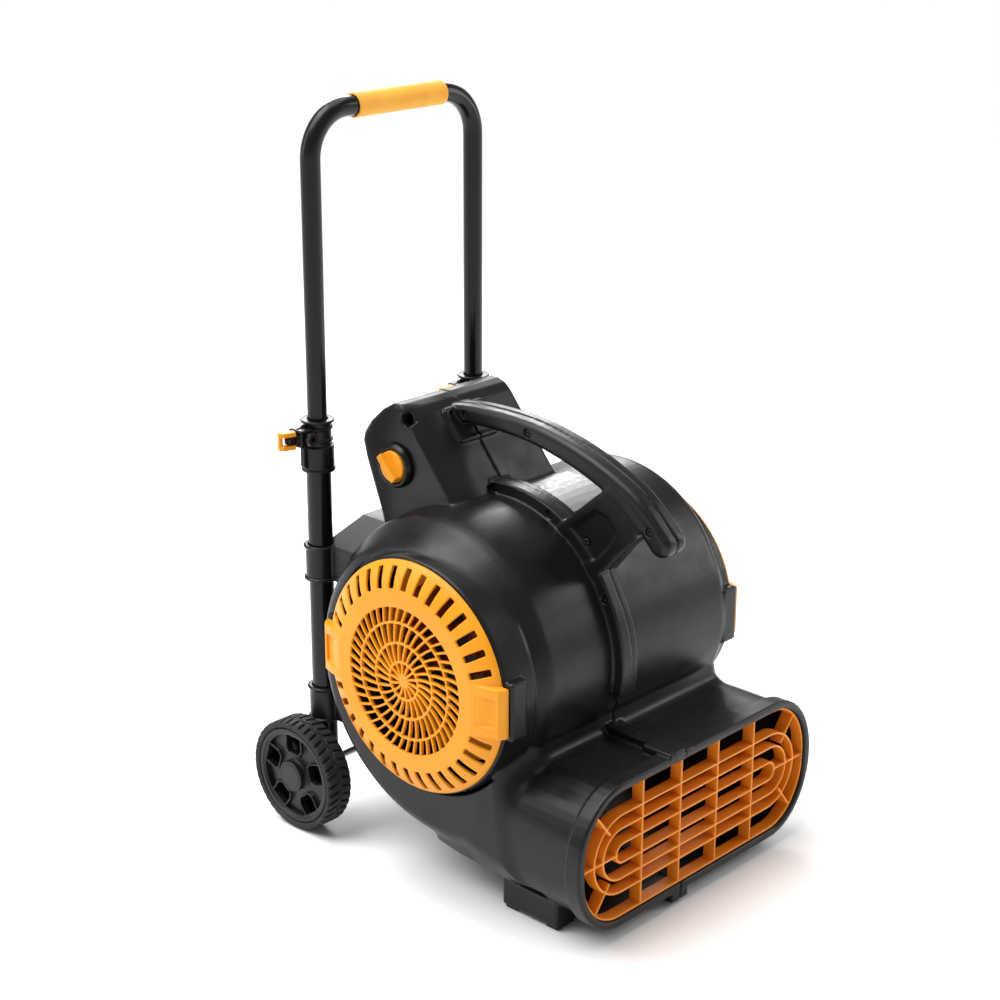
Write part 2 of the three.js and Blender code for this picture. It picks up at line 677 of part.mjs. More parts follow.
// three arms carry the motor inside the right intake collar
function motorMount() {
  const [x0, x1] = [MOTOR_RIGHT - 30, MOTOR_RIGHT - 14];
  const ring = ringX(MOTOR_RADIUS + GAP, MOTOR_RADIUS + 6, x0, x1, FAN_Y, FAN_Z, 24);
  const hoop = ringX(126, COLLAR_BORE - GAP, VOLUTE_RIGHT - 10, VOLUTE_RIGHT, FAN_Y, FAN_Z, 40);
  const arms = [0, 1, 2].map((k) => {
    const arm = alongX([[-9, 64], [9, 64], [9, 96], [-9, 96]], x0, x1)
      .add(box(x0, VOLUTE_RIGHT, -9, 9, 90, 98))
      .add(box(VOLUTE_RIGHT - 10, VOLUTE_RIGHT, -9, 9, 96, 129));
    return spunX(arm, (k * 2 * Math.PI) / 3, 0, 0).translate([0, FAN_Y, FAN_Z]);
  });
  return joined([ring, hoop, ...arms]);
}

function impeller() {
  const bore = SHAFT_RADIUS + 0.4;
  const disc = ringX(bore, FAN_RADIUS, FAN_MIDDLE - 2, FAN_MIDDLE + 2, FAN_Y, FAN_Z, BLADE_COUNT);
  const hub = ringX(bore, 20, FAN_MIDDLE - 14, FAN_MIDDLE + 14, FAN_Y, FAN_Z, 24);
  const blades = [];
  for (let i = 0; i < BLADE_COUNT; i++) {
    const blade = box(FAN_LEFT, FAN_RIGHT, -1.1, 1.1, -13, 13)
      .rotate([28, 0, 0])
      .translate([0, 0, (FAN_BORE + FAN_RADIUS) / 2]);
    blades.push(spunX(blade, (i * 2 * Math.PI) / BLADE_COUNT, 0, 0).translate([0, FAN_Y, FAN_Z]));
  }
  const hoops = [[FAN_LEFT - 2, FAN_LEFT + 2], [FAN_RIGHT - 2, FAN_RIGHT + 2]].map(
    ([x0, x1]) => ringX(FAN_BORE, FAN_RADIUS + 1, x0, x1, FAN_Y, FAN_Z, BLADE_COUNT),
  );
  return joined([disc, hub, ...blades, ...hoops]);
}

place('motor', motor(), metal(0x6d6f72, 0.5));
place('motor_mount', motorMount(), metal(0x55575a, 0.5));
const bearing = ringX(SHAFT_RADIUS + GAP, 18 - GAP, MOTOR_LEFT + 1, MOTOR_LEFT + 9.5, FAN_Y, FAN_Z, 20);
place('shaft_bearing', bearing, metal(STEEL, 0.3));
place('motor_shaft', rodX(SHAFT_RADIUS, FAN_MIDDLE - 26, MOTOR_LEFT + 9, FAN_Y, FAN_Z), metal(STEEL, 0.3));
place('impeller', impeller(), plastic(ORANGE, 0.5));

// ---------------------------------------------------------------- speed control
function speedKnob() {
  const body = turnedX([[0, 0], [18, 0], [KNOB_RADIUS, 3], [KNOB_RADIUS, 9], [0, 9]], 0, 0, 32);
  const grip = box(-10, 1, -5.5, 5.5, -KNOB_RADIUS + 1, KNOB_RADIUS - 1);
  const stem = rodX(4, 8, 26, 0, 0, 16);
  return joined([body, grip, stem]);
}

place('knob_bezel', ringX(KNOB_RADIUS + 1, BEZEL_RADIUS, BOX_LEFT - 9, BOX_LEFT - GAP, KNOB_Y, KNOB_Z, 28),
  plastic(DARK, 0.5));
place('speed_knob', speedKnob(), plastic(ORANGE, 0.45), [BOX_LEFT - 11, KNOB_Y, KNOB_Z], [-0.75, 0, 0]);
const SWITCH_HALF = 20;
const switchBody = box(BOX_LEFT + WALL + GAP, BOX_LEFT + 34, KNOB_Y - SWITCH_HALF, KNOB_Y + SWITCH_HALF,
  KNOB_Z - SWITCH_HALF, KNOB_Z + SWITCH_HALF);
place('speed_switch', switchBody.subtract(rodX(4.5, BOX_LEFT, BOX_LEFT + 18, KNOB_Y, KNOB_Z, 16)),
  plastic(0x2f3a4a, 0.5));
place('run_capacitor', rodX(17, -72, -8, 138, 500), metal(0xa9adb2, 0.35), [SEAM_X + 34, 0, 0]);

// ---------------------------------------------------------------- trolley
const TUBE_X = [TUBE_LEFT, TUBE_RIGHT];
const SIDES = ['left', 'right'];

function lowerTube(x) {
  const tube = ringZ(LOWER_BORE, LOWER_RADIUS, WHEEL_RADIUS - 14, LOWER_TOP, x, TUBE_Y);
  return tube.subtract(rodX(AXLE_RADIUS + GAP, x - 30, x + 30, TUBE_Y, WHEEL_RADIUS, 20));
}

// cross member behind the volute with a sleeve for each tube
function crossMember(z0, z1, rise) {
  const web = alongY([
    [TUBE_LEFT, z0], [TUBE_RIGHT, z0], [TUBE_RIGHT, z1],
    [TUBE_MIDDLE + 70, z1 + rise], [TUBE_MIDDLE - 70, z1 + rise], [TUBE_LEFT, z1],
  ], 120, TUBE_Y - 3);
  const sleeves = TUBE_X.flatMap((x) => [
    rodZ(LOWER_RADIUS + 4, z0, z1, x, TUBE_Y),
    rodZ(LOWER_RADIUS + 6.5, z0, z0 + 4, x, TUBE_Y),
    rodZ(LOWER_RADIUS + 6.5, z1 - 4, z1, x, TUBE_Y),
  ]);
  const bores = TUBE_X.map((x) => rodZ(LOWER_RADIUS + GAP, z0 - 1, z1 + 40, x, TUBE_Y));
  const control = alongX(boxOutline(GAP), BOX_LEFT - GAP, BOX_RIGHT + GAP);
  return joined([web, ...sleeves]).subtract(joined([...bores, voluteBody(GAP), control]));
}

place('cross_member_upper', crossMember(337, 385, 22), plastic(BLACK, 0.6));
place('cross_member_lower', crossMember(140, 188, 0), plastic(BLACK, 0.6));

const TONGUE_HALF = 5.2; // the ears' tongue, which the lever's fork straddles
const LEVER_HALF = 11.5;

// quick-release clamp at the top of a lower tube; its ears point away from the tube along -x
function clampCollar() {
  const outside = [
    rodZ(LOWER_RADIUS + 5, CLAMP_Z - 49, CLAMP_Z - 15, 0, 0),
    rodZ(UPPER_RADIUS + 5, CLAMP_Z - 16, CLAMP_Z + 19, 0, 0),
    rodZ(LOWER_RADIUS + 6, CLAMP_Z + 15, CLAMP_Z + 19, 0, 0),
    box(-38, -12, -12, 12, CLAMP_Z - 11, CLAMP_Z + 12),
    box(PIN_X - 6, -36, -6, 6, CLAMP_Z - TONGUE_HALF, CLAMP_Z + TONGUE_HALF),
    alongY([[-14, CLAMP_Z - 49], [-27, CLAMP_Z - 39], [-27, CLAMP_Z - 12], [-14, CLAMP_Z - 11]], -4, 4),
  ];
  const inside = [
    rodZ(LOWER_RADIUS + GAP, CLAMP_Z - 60, LOWER_TOP + GAP, 0, 0),
    rodZ(UPPER_RADIUS + GAP, LOWER_TOP, CLAMP_Z + 30, 0, 0),
    box(-34, -10, -1.5, 1.5, CLAMP_Z - 14, CLAMP_Z + 14),
    rodY(3.4, -20, 20, BOLT_X, CLAMP_Z, 12),
    rodZ(3, CLAMP_Z - 20, CLAMP_Z + 20, PIN_X, 0, 12),
  ];
  return joined(outside).subtract(joined(inside));
}

function clampBolt() {
  const shank = rodY(3, -15, 15, BOLT_X, CLAMP_Z, 12);
  const head = rodY(9, -20, -12 - GAP, BOLT_X, CLAMP_Z, 6);
  const nut = rodY(6.5, 12 + GAP, 17, BOLT_X, CLAMP_Z, 6);
  return joined([shank, head, nut]);
}

// fork-shaped cam lever that turns about its own upright pin beyond the ears
function clampLever() {
  const cheek = [[6, -6], [6, 5], [-14, 6], [-16, 3], [-16, -3], [-10, -7]];
  const [low, high] = [CLAMP_Z - LEVER_HALF, CLAMP_Z + LEVER_HALF];
  const thick = LEVER_HALF - TONGUE_HALF - GAP;
  return joined([
    alongZ(cheek, low, low + thick),
    alongZ(cheek, high - thick, high),
    box(-16, -10, -3, 3, low + 1, high - 1),
    rodZ(2.6, low + 3, high - 3, 0, 0, 12),
  ]);
}

// upper tube bent into a U, open at both lower ends
function upperTube() {
  const [xl, xr, top] = [TUBE_LEFT, TUBE_RIGHT, BAR_Z];
  const point = (x, z) => new THREE.Vector3(x, TUBE_Y, z);
  const points = [point(xl, UPPER_BOTTOM), point(xl, top - BEND_RADIUS)];
  for (let i = 1; i <= 6; i++) {
    const a = (i * Math.PI) / 12;
    points.push(point(xl + BEND_RADIUS * (1 - Math.cos(a)), top - BEND_RADIUS * (1 - Math.sin(a))));
  }
  for (let i = 0; i <= 6; i++) {
    const a = (i * Math.PI) / 12;
    points.push(point(xr - BEND_RADIUS * (1 - Math.sin(a)), top - BEND_RADIUS * (1 - Math.cos(a))));
  }
  points.push(point(xr, UPPER_BOTTOM));
  return sweptTube(points);
}

// round tube with mitred joints through a list of points in the plane y = TUBE_Y
function sweptTube(points) {
  const sides = 12;
  const position = [];
  const index = [];
  const frames = points.map((p, i) => {
    const before = points[Math.max(i - 1, 0)];
    const after = points[Math.min(i + 1, points.length - 1)];
    const into = p.clone().sub(before).normalize();
    const away = after.clone().sub(p).normalize();
    const along = into.clone().add(away).normalize();
    const across = along.clone().cross(Y_AXIS);
    const stretch = i === 0 || i === points.length - 1 ? 1 : 1 / along.dot(into);
    return { p, across, stretch };
  });
  for (const radius of [UPPER_RADIUS, UPPER_BORE]) {
    for (const { p, across, stretch } of frames) {
      for (let k = 0; k < sides; k++) {
        const a = (k * 2 * Math.PI) / sides;
        const spot = p.clone()
          .addScaledVector(across, radius * Math.cos(a) * stretch)
          .addScaledVector(Y_AXIS, radius * Math.sin(a));
        position.push(spot.x, spot.y, spot.z);
      }
    }
  }
  const inner = points.length * sides;
  const quad = (a, b, c, d) => index.push(a, b, c, a, c, d);
  for (let k = 0; k < sides; k++) {
    const next = (k + 1) % sides;
    for (let i = 0; i + 1 < points.length; i++) {
      const [a, b] = [i * sides, (i + 1) * sides];
      quad(a + k, a + next, b + next, b + k);
      quad(inner + a + next, inner + a + k, inner + b + k, inner + b + next);
    }
    const last = (points.length - 1) * sides;
    quad(inner + k, inner + next, next, k);
    quad(last + k, last + next, inner + last + next, inner + last + k);
  }
  const geometry = new THREE.BufferGeometry();
  geometry.setAttribute('position', new THREE.Float32BufferAttribute(position, 3));
  geometry.setIndex(index);
  return solid(geometry);
}

place('handle_tube', upperTube(), metal(0x1c1c1e, 0.35));
place('handle_grip', ringX(UPPER_RADIUS + GAP, GRIP_RADIUS, -GRIP_HALF, GRIP_HALF, 0, 0, 32),
  plastic(AMBER, 0.6), [GRIP_X, TUBE_Y, BAR_Z]);

const LEVER_TURN = [-0.35, 0];
const collar = clampCollar();
const bolt = clampBolt();
const lever = clampLever();
TUBE_X.forEach((x, i) => {
  place(`lower_tube_${SIDES[i]}`, lowerTube(x), metal(0x1c1c1e, 0.4));
  place(`clamp_collar_${SIDES[i]}`, collar, plastic(BLACK, 0.5), [x, TUBE_Y, 0]);
  place(`clamp_bolt_${SIDES[i]}`, bolt, metal(0x3a3b3d, 0.4), [x, TUBE_Y, 0]);
  const pin = [x + PIN_X, TUBE_Y, 0];
  place(`clamp_lever_${SIDES[i]}`, lever, plastic(AMBER, 0.45), pin, [0, 0, LEVER_TURN[i]]);
});

// ---------------------------------------------------------------- wheels
// outer face at x = 0, hub towards +x
function wheelRim() {
  const rim = turnedX([
    [AXLE_RADIUS + 0.2, 6], [23, 6], [25, 10], [58, 10], [60, 3], [65, 3], [65, WHEEL_WIDTH - 3],
    [58, WHEEL_WIDTH - 3], [56, 18], [24, 18], [20, WHEEL_WIDTH - 1], [AXLE_RADIUS + 0.2, WHEEL_WIDTH - 1],
    [AXLE_RADIUS + 0.2, 6],
  ], 0, 0, 25);
  const windows = [0, 1, 2, 3, 4].map((k) => {
    const window = alongX([[-10, 33], [10, 33], [14, 40], [11, 54], [-11, 54], [-14, 40]], 5, 30);
    return spunX(window, (k * 2 * Math.PI) / 5, 0, 0);
  });
  return rim.subtract(joined(windows));
}

function tyre() {
  return turnedX([
    [65 + GAP, 0], [70, 0], [WHEEL_RADIUS, 7], [WHEEL_RADIUS, WHEEL_WIDTH - 7],
    [70, WHEEL_WIDTH], [65 + GAP, WHEEL_WIDTH], [65 + GAP, 0],
  ], 0, 0, 40);
}

function hubCap() {
  return turnedX([[0, -2], [18, -2], [21, 1], [21, 6 - GAP], [0, 6 - GAP]], 0, 0, 24);
}

const wheelParts = [
  ['wheel_rim', wheelRim(), plastic(DARK, 0.55)],
  ['tyre', tyre(), plastic(0x171717, 0.85)],
  ['hub_cap', hubCap(), plastic(DARK, 0.5)],
];
SIDES.forEach((side, i) => {
  const position = [TUBE_MIDDLE + (i ? WHEEL_OFFSET : -WHEEL_OFFSET), TUBE_Y, WHEEL_RADIUS];
  for (const [name, body, material] of wheelParts) {
    place(`${name}_${side}`, body, material, position, [0, 0, i ? Math.PI : 0]);
  }
});
const axleEnd = WHEEL_OFFSET - 8;
place('axle', rodX(AXLE_RADIUS, TUBE_MIDDLE - axleEnd, TUBE_MIDDLE + axleEnd, TUBE_Y, WHEEL_RADIUS, 20),
  metal(STEEL, 0.35));

// cord gland at the back of the control box
function cordGland() {
  return rodY(9, 168, 192, GLAND_X, GLAND_Z, 14).add(rodY(12, 184, 190, GLAND_X, GLAND_Z, 14))
    .subtract(rodY(4.5, 160, 200, GLAND_X, GLAND_Z, 10));
}
place('cord_gland', cordGland(), plastic(DARK, 0.6));

// the origin lies under the middle of the whole object: the outlet frame reaches furthest on the
// right, the intake grille on the left
const reachRight = OUTLET_X + DUCT_HALF_WIDTH + FRAME_RISE;
const whole = new THREE.Group();
airMover.position.x = -(reachRight + GRILLE_LEFT_X) / 2;
whole.add(airMover);

export default whole;
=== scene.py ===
import math

import bmesh
import bpy
import numpy as np
import openvdb
from mathutils import Matrix, Vector


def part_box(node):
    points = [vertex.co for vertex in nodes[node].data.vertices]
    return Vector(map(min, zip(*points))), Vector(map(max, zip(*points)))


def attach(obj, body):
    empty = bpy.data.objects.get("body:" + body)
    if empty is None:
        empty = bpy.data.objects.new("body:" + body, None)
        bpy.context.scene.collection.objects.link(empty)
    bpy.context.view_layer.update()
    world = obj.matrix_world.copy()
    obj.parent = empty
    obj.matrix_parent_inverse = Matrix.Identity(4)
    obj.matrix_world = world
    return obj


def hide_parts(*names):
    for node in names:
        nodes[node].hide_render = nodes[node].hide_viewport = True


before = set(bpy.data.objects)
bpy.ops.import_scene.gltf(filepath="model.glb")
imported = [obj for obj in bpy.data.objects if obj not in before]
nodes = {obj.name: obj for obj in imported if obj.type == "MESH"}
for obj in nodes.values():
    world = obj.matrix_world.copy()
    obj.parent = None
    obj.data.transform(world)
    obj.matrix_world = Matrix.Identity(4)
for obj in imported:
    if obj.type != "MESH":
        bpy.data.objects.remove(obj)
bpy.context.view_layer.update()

MM = 0.001
SKIN = 0.2  # how far a drawn piece stays inside its CAD solid, mm


def corners(node):
    """Lowest and highest corner of a CAD node, in millimetres."""
    low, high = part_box(node)
    return np.array(low) / MM, np.array(high) / MM


# ---------------------------------------------------------------- sizes, in millimetres
left_low, left_high = corners("housing_left")
right_low, right_high = corners("housing_right")
control_low, control_high = corners("control_box_left")
tube_low, tube_high = corners("handle_tube")
leg_left, leg_right = corners("lower_tube_left"), corners("lower_tube_right")
grille_low, grille_high = corners("intake_grille_left")
foot_left, foot_right = corners("foot_pad_left_front"), corners("foot_pad_right_front")

SEAM = (left_high[0] + right_low[0]) / 2
SEAM_GAP = 0.25  # half of the visible joint line
BAR_PITCH = 72.7
OUTLET_X = SEAM + BAR_PITCH / 2
OUTLET_Y = left_low[1]
FAN_Y = (grille_low[1] + grille_high[1]) / 2
FAN_Z = (grille_low[2] + grille_high[2]) / 2
WALL = 4
DUCT_HALF_WIDTH = 224
DUCT_FLAT = 148
DUCT_TOP = 201
DUCT_BOTTOM = 22
DUCT_MIDDLE = (DUCT_TOP + DUCT_BOTTOM) / 2
FRAME_RISE = 6
FRAME_DEPTH = 24
FLANGE_LEFT = 18.5
FLANGE_RIGHT = 14
FLANGE_RISE = 16
FLANGE_STEP = 3  # the right half's flange is this much lower
LIP_LEFT = 28
LIP_RISE = 10
COLLAR_LENGTH = 11.7
COLLAR_BORE = 134
GRILLE_DEPTH = 22
BOSS_REACH = 158  # of the bosses beside a collar, from the fan's axis
RECESS = (102, 560, 8.5)  # round recess high on the knob face: y, z, radius
VOLUTE_LEFT = grille_high[0] + COLLAR_LENGTH + 0.3
VOLUTE_RIGHT = corners("intake_grille_right")[0][0] - COLLAR_LENGTH - 0.3
BEVEL_WIDTH = 54
BEVEL_DROP = 30
SHOULDER = 22
FOOT_EDGE = 3  # from a pad's side to its block's side
FOOT_Y = (-220, -131)
FOOT_Z = (5, 70)
BOX_LEFT = control_low[0]
BOX_RIGHT = corners("control_box_right")[1][0]
BOX_FRONT = (20, 478.5)  # y and z of a point on the box's leaning front
LEAN = math.radians(39.6)
TUBE_Y = (tube_low[1] + tube_high[1]) / 2
TUBE_LEFT = (leg_left[0][0] + leg_left[1][0]) / 2
TUBE_RIGHT = (leg_right[0][0] + leg_right[1][0]) / 2
UPPER_RADIUS = (tube_high[1] - tube_low[1]) / 2
LOWER_RADIUS = (leg_left[1][0] - leg_left[0][0]) / 2
LOWER_TOP = leg_left[1][2]
CLAMP_Z = LOWER_TOP + 17
CLAMP_BOLT = 25  # from the tube's axis, outward
CLAMP_PIN = 46
BEND_RADIUS = 58
BAR_Z = tube_high[2] - UPPER_RADIUS  # height of the handle's bar


# ---------------------------------------------------------------- distance fields
class Grid:
    """Sample points of a block of space. x, y and z broadcast against each other."""

    def __init__(self, low, high, step):
        self.low = np.array(low, float) - 2 * step
        self.step = step
        count = np.ceil((np.array(high, float) + 2 * step - self.low) / step).astype(int) + 1
        axes = [self.low[i] + np.arange(count[i]) * step for i in range(3)]
        self.x = axes[0].reshape(-1, 1, 1).astype(np.float32)
        self.y = axes[1].reshape(1, -1, 1).astype(np.float32)
        self.z = axes[2].reshape(1, 1, -1).astype(np.float32)
        self.shape = tuple(count)


def outline(points, u, v):
    """Signed distance to a closed outline, negative inside."""
    nearest = np.full(np.broadcast_shapes(u.shape, v.shape), 1e9, np.float32)
    inside = np.zeros(nearest.shape, bool)
    for (au, av), (bu, bv) in zip(points, points[1:] + points[:1]):
        eu, ev = bu - au, bv - av
        length = eu * eu + ev * ev
        if length < 1e-9:
            continue
        along = np.clip(((u - au) * eu + (v - av) * ev) / length, 0, 1)
        nearest = np.minimum(nearest, (u - au - eu * along) ** 2 + (v - av - ev * along) ** 2)
        if abs(ev) > 1e-9:
            inside ^= ((av > v) != (bv > v)) & (u < eu * (v - av) / ev + au)
    distance = np.sqrt(nearest)
    return np.where(inside, -distance, distance)


def slab(t, low, high):
    return np.abs(t - (low + high) / 2) - (high - low) / 2


def both(a, b, edge=0.0):
    """The space in both a and b, with the edge between them rounded."""
    if edge == 0:
        return np.maximum(a, b)
    a, b = a + edge, b + edge
    outside = np.sqrt(np.maximum(a, 0) ** 2 + np.maximum(b, 0) ** 2)
    return outside + np.minimum(np.maximum(a, b), 0) - edge


def block(g, x0, x1, y0, y1, z0, z1, edge=0.0):
    flat = both(slab(g.y, y0, y1), slab(g.z, z0, z1), edge)
    return both(slab(g.x, x0, x1), flat, edge)


def melt(a, b, fillet):
    """The space in a or b, with a fillet where they meet."""
    near = np.maximum(fillet - np.abs(a - b), 0)
    return np.minimum(a, b) - near * near / (4 * fillet)


def cut(a, b, fillet=0.0):
    """The space in a that is not in b."""
    if fillet == 0:
        return np.maximum(a, -b)
    return -melt(-a, b, fillet)


def round_x(g, y, z, radius):
    return np.hypot(g.y - y, g.z - z) - radius


def round_y(g, x, z, radius):
    return np.hypot(g.x - x, g.z - z) - radius


def round_z(g, x, y, radius):
    return np.hypot(g.x - x, g.y - y) - radius


def skin_mesh(name, g, distance):
    """A smooth closed mesh around the space where distance is negative."""
    band = 3 * g.step
    volume = openvdb.FloatGrid(band)
    full = np.broadcast_to(distance, g.shape)
    volume.copyFromArray(np.ascontiguousarray(np.clip(full, -band, band), np.float32))
    points, quads = volume.convertToQuads(0.0)
    points = (points * g.step + g.low) * MM
    mesh = bpy.data.meshes.new(name)
    mesh.vertices.add(len(points))
    mesh.vertices.foreach_set("co", points.astype(np.float32).ravel())
    mesh.loops.add(len(quads) * 4)
    mesh.polygons.add(len(quads))
    mesh.loops.foreach_set("vertex_index", quads[:, ::-1].astype(np.int32).ravel())
    mesh.polygons.foreach_set("loop_start", np.arange(0, len(quads) * 4, 4, dtype=np.int32))
    mesh.polygons.foreach_set("use_smooth", np.ones(len(quads), bool))
    mesh.update(calc_edges=True)
    tidy = bmesh.new()
    tidy.from_mesh(mesh)
    if tidy.calc_volume(signed=True) < 0:
        bmesh.ops.reverse_faces(tidy, faces=tidy.faces)
        tidy.to_mesh(mesh)
    tidy.free()
    return mesh


def add_piece(name, mesh, material, body, slot, *replaced):
    piece = bpy.data.objects.new(name, mesh)
    bpy.context.scene.collection.objects.link(piece)
    if not mesh.materials:
        mesh.materials.append(material)
    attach(piece, body)
    if replaced:
        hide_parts(*replaced)
    return piece


# ---------------------------------------------------------------- materials
def new_material(name, colour, roughness, metallic=0.0, coat=0.0):
    material = bpy.data.materials.new(name)
    material.use_nodes = True
    shader = material.node_tree.nodes["Principled BSDF"]
    shader.inputs["Base Color"].default_value = (*colour, 1)
    shader.inputs["Roughness"].default_value = roughness
    shader.inputs["Metallic"].default_value = metallic
    shader.inputs["Coat Weight"].default_value = coat
    return material, material.node_tree, shader


def noise(tree, scale, detail=4.0, stretch=None):
    texture = tree.nodes.new("ShaderNodeTexNoise")
    texture.inputs["Scale"].default_value = scale
    texture.inputs["Detail"].default_value = detail
    place = tree.nodes.new("ShaderNodeTexCoord")
    source = place.outputs["Object"]
    if stretch:
        mapping = tree.nodes.new("ShaderNodeMapping")
        mapping.inputs["Scale"].default_value = stretch
        tree.links.new(source, mapping.inputs["Vector"])
        source = mapping.outputs["Vector"]
    tree.links.new(source, texture.inputs["Vector"])
    return texture.outputs["Fac"]


def spread(tree, source, low, high, start=0.3, end=0.7):
    """source, from start to end, becomes low to high."""
    ramp = tree.nodes.new("ShaderNodeMapRange")
    ramp.inputs["From Min"].default_value = start
    ramp.inputs["From Max"].default_value = end
    ramp.inputs["To Min"].default_value = low
    ramp.inputs["To Max"].default_value = high
    tree.links.new(source, ramp.inputs["Value"])
    return ramp.outputs["Result"]


def tint(tree, factor, first, second):
    mix = tree.nodes.new("ShaderNodeMix")
    mix.data_type = "RGBA"
    mix.inputs["A"].default_value = (*first, 1)
    mix.inputs["B"].default_value = (*second, 1)
    tree.links.new(factor, mix.inputs["Factor"])
    return mix.outputs["Result"]


def bumped(tree, shader, height, distance, strength=1.0):
    bump = tree.nodes.new("ShaderNodeBump")
    bump.inputs["Distance"].default_value = distance
    bump.inputs["Strength"].default_value = strength
    tree.links.new(height, bump.inputs["Height"])
    tree.links.new(bump.outputs["Normal"], shader.inputs["Normal"])
    return bump


def edge_wear(tree, low=0.56, high=0.72):
    """Rises on outer edges, where handling rubs the surface."""
    geometry = tree.nodes.new("ShaderNodeNewGeometry")
    return spread(tree, geometry.outputs["Pointiness"], 0, 1, low, high)


def moulded(name, colour, worn, roughness, grain=900.0, grain_depth=0.00006, gloss=0.5):
    """Injection-moulded plastic: fine spark-eroded grain, faint clouding, lighter rubbed edges."""
    material, tree, shader = new_material(name, colour, roughness)
    shader.inputs["Specular IOR Level"].default_value = gloss
    clouds = spread(tree, noise(tree, 14, 5), 0, 0.35, 0.35, 0.75)
    rubbed = edge_wear(tree)
    worn_share = tree.nodes.new("ShaderNodeMath")
    worn_share.operation = "MAXIMUM"
    tree.links.new(clouds, worn_share.inputs[0])
    tree.links.new(rubbed, worn_share.inputs[1])
    tree.links.new(tint(tree, worn_share.outputs[0], colour, worn), shader.inputs["Base Color"])
    patches = noise(tree, 30, 6)
    tree.links.new(spread(tree, patches, roughness - 0.07, roughness + 0.08), shader.inputs["Roughness"])
    bumped(tree, shader, noise(tree, grain, 2), grain_depth)
    return material


def coated(name, colour, roughness):
    """Powder-coated steel tube: orange peel under a hard gloss."""
    material, tree, shader = new_material(name, colour, roughness, 0.0, 0.2)
    shader.inputs["Coat Roughness"].default_value = 0.1
    shader.inputs["Specular IOR Level"].default_value = 0.2
    smears = noise(tree, 9, 6, (1, 1, 0.25))
    tree.links.new(spread(tree, smears, roughness - 0.08, roughness + 0.12), shader.inputs["Roughness"])
    bumped(tree, shader, noise(tree, 420, 2), 0.00005)
    return material


def bare_metal(name, colour, roughness, stretch):
    material, tree, shader = new_material(name, colour, roughness, 1.0)
    brushed = noise(tree, 160, 6, stretch)
    tree.links.new(spread(tree, brushed, roughness - 0.1, roughness + 0.12), shader.inputs["Roughness"])
    bumped(tree, shader, brushed, 0.00003)
    return material


def tyre_rubber(name):
    material, tree, shader = new_material(name, (0.014, 0.014, 0.014), 0.75)
    dust = spread(tree, noise(tree, 22, 8), 0, 0.6, 0.5, 0.8)
    shade = tint(tree, dust, (0.013, 0.013, 0.013), (0.05, 0.048, 0.045))
    tree.links.new(shade, shader.inputs["Base Color"])
    tree.links.new(spread(tree, noise(tree, 60, 4), 0.66, 0.86), shader.inputs["Roughness"])
    bumped(tree, shader, noise(tree, 700, 3), 0.0001)
    return material


def foam_grip(name):
    material, tree, shader = new_material(name, (0.93, 0.45, 0.03), 0.72)
    shade = tint(tree, spread(tree, noise(tree, 40, 6), 0, 1), (0.93, 0.44, 0.03), (0.87, 0.37, 0.02))
    tree.links.new(shade, shader.inputs["Base Color"])
    shader.inputs["Sheen Weight"].default_value = 0.15
    bumped(tree, shader, noise(tree, 1300, 3), 0.00012)
    return material


black_plastic = moulded("black_plastic", (0.0055, 0.0057, 0.006), (0.014, 0.0143, 0.015), 0.34, gloss=0.3)
trim_plastic = moulded("trim_plastic", (0.004, 0.004, 0.0043), (0.012, 0.012, 0.0125), 0.3, gloss=0.3)
wheel_plastic = moulded("wheel_plastic", (0.006, 0.006, 0.0063), (0.018, 0.018, 0.0185), 0.38, gloss=0.35)
amber_plastic = moulded("amber_plastic", (0.87, 0.315, 0.005), (0.95, 0.42, 0.02), 0.38, gloss=0.35)
orange_plastic = moulded("orange_plastic", (0.9, 0.27, 0.012), (1.0, 0.42, 0.05), 0.42)
dark_plastic = moulded("dark_plastic", (0.03, 0.045, 0.075), (0.06, 0.08, 0.12), 0.45)
tube_coat = coated("tube_coat", (0.004, 0.004, 0.0045), 0.26)
black_steel = bare_metal("black_steel", (0.05, 0.05, 0.053), 0.42, (1, 1, 1))
bright_steel = bare_metal("bright_steel", (0.55, 0.55, 0.56), 0.3, (0.05, 1, 1))
cast_alloy = bare_metal("cast_alloy", (0.28, 0.285, 0.29), 0.5, (1, 1, 1))
foil = bare_metal("foil", (0.3, 0.305, 0.31), 0.5, (1, 1, 1))
rubber = tyre_rubber("rubber")
grip_foam = foam_grip("grip_foam")


# ---------------------------------------------------------------- outlines shared by both halves
VOLUTE_START = 160
VOLUTE_STEADY = 31  # degrees up to which the radius stays the same
VOLUTE_GROW = 29.5  # growth per quarter turn


def volute_radius(angle, rise=0.0):
    """angle in degrees: 0 looks to the front, 90 up, 180 to the back, 270 down."""
    return VOLUTE_START + VOLUTE_GROW * max(angle - VOLUTE_STEADY, 0) / 90 + rise


def volute_point(angle, rise=0.0):
    a = math.radians(angle)
    radius = volute_radius(angle, rise)
    return FAN_Y - radius * math.cos(a), FAN_Z + radius * math.sin(a)


def volute_arc(start, end, step, rise):
    count = round((end - start) / step)
    return [volute_point(start + (end - start) * i / count, rise) for i in range(count + 1)]


BELLY = volute_point(285)
NECK = OUTLET_Y + FRAME_DEPTH
DUCT_BACK = -205


def volute_outline(rise=0.0):
    share = (DUCT_BACK - NECK) / (BELLY[0] - NECK)
    bottom = DUCT_BOTTOM + share * (BELLY[1] - DUCT_BOTTOM)
    return volute_arc(-25, 285, 3, rise) + [(DUCT_BACK, bottom - rise)]


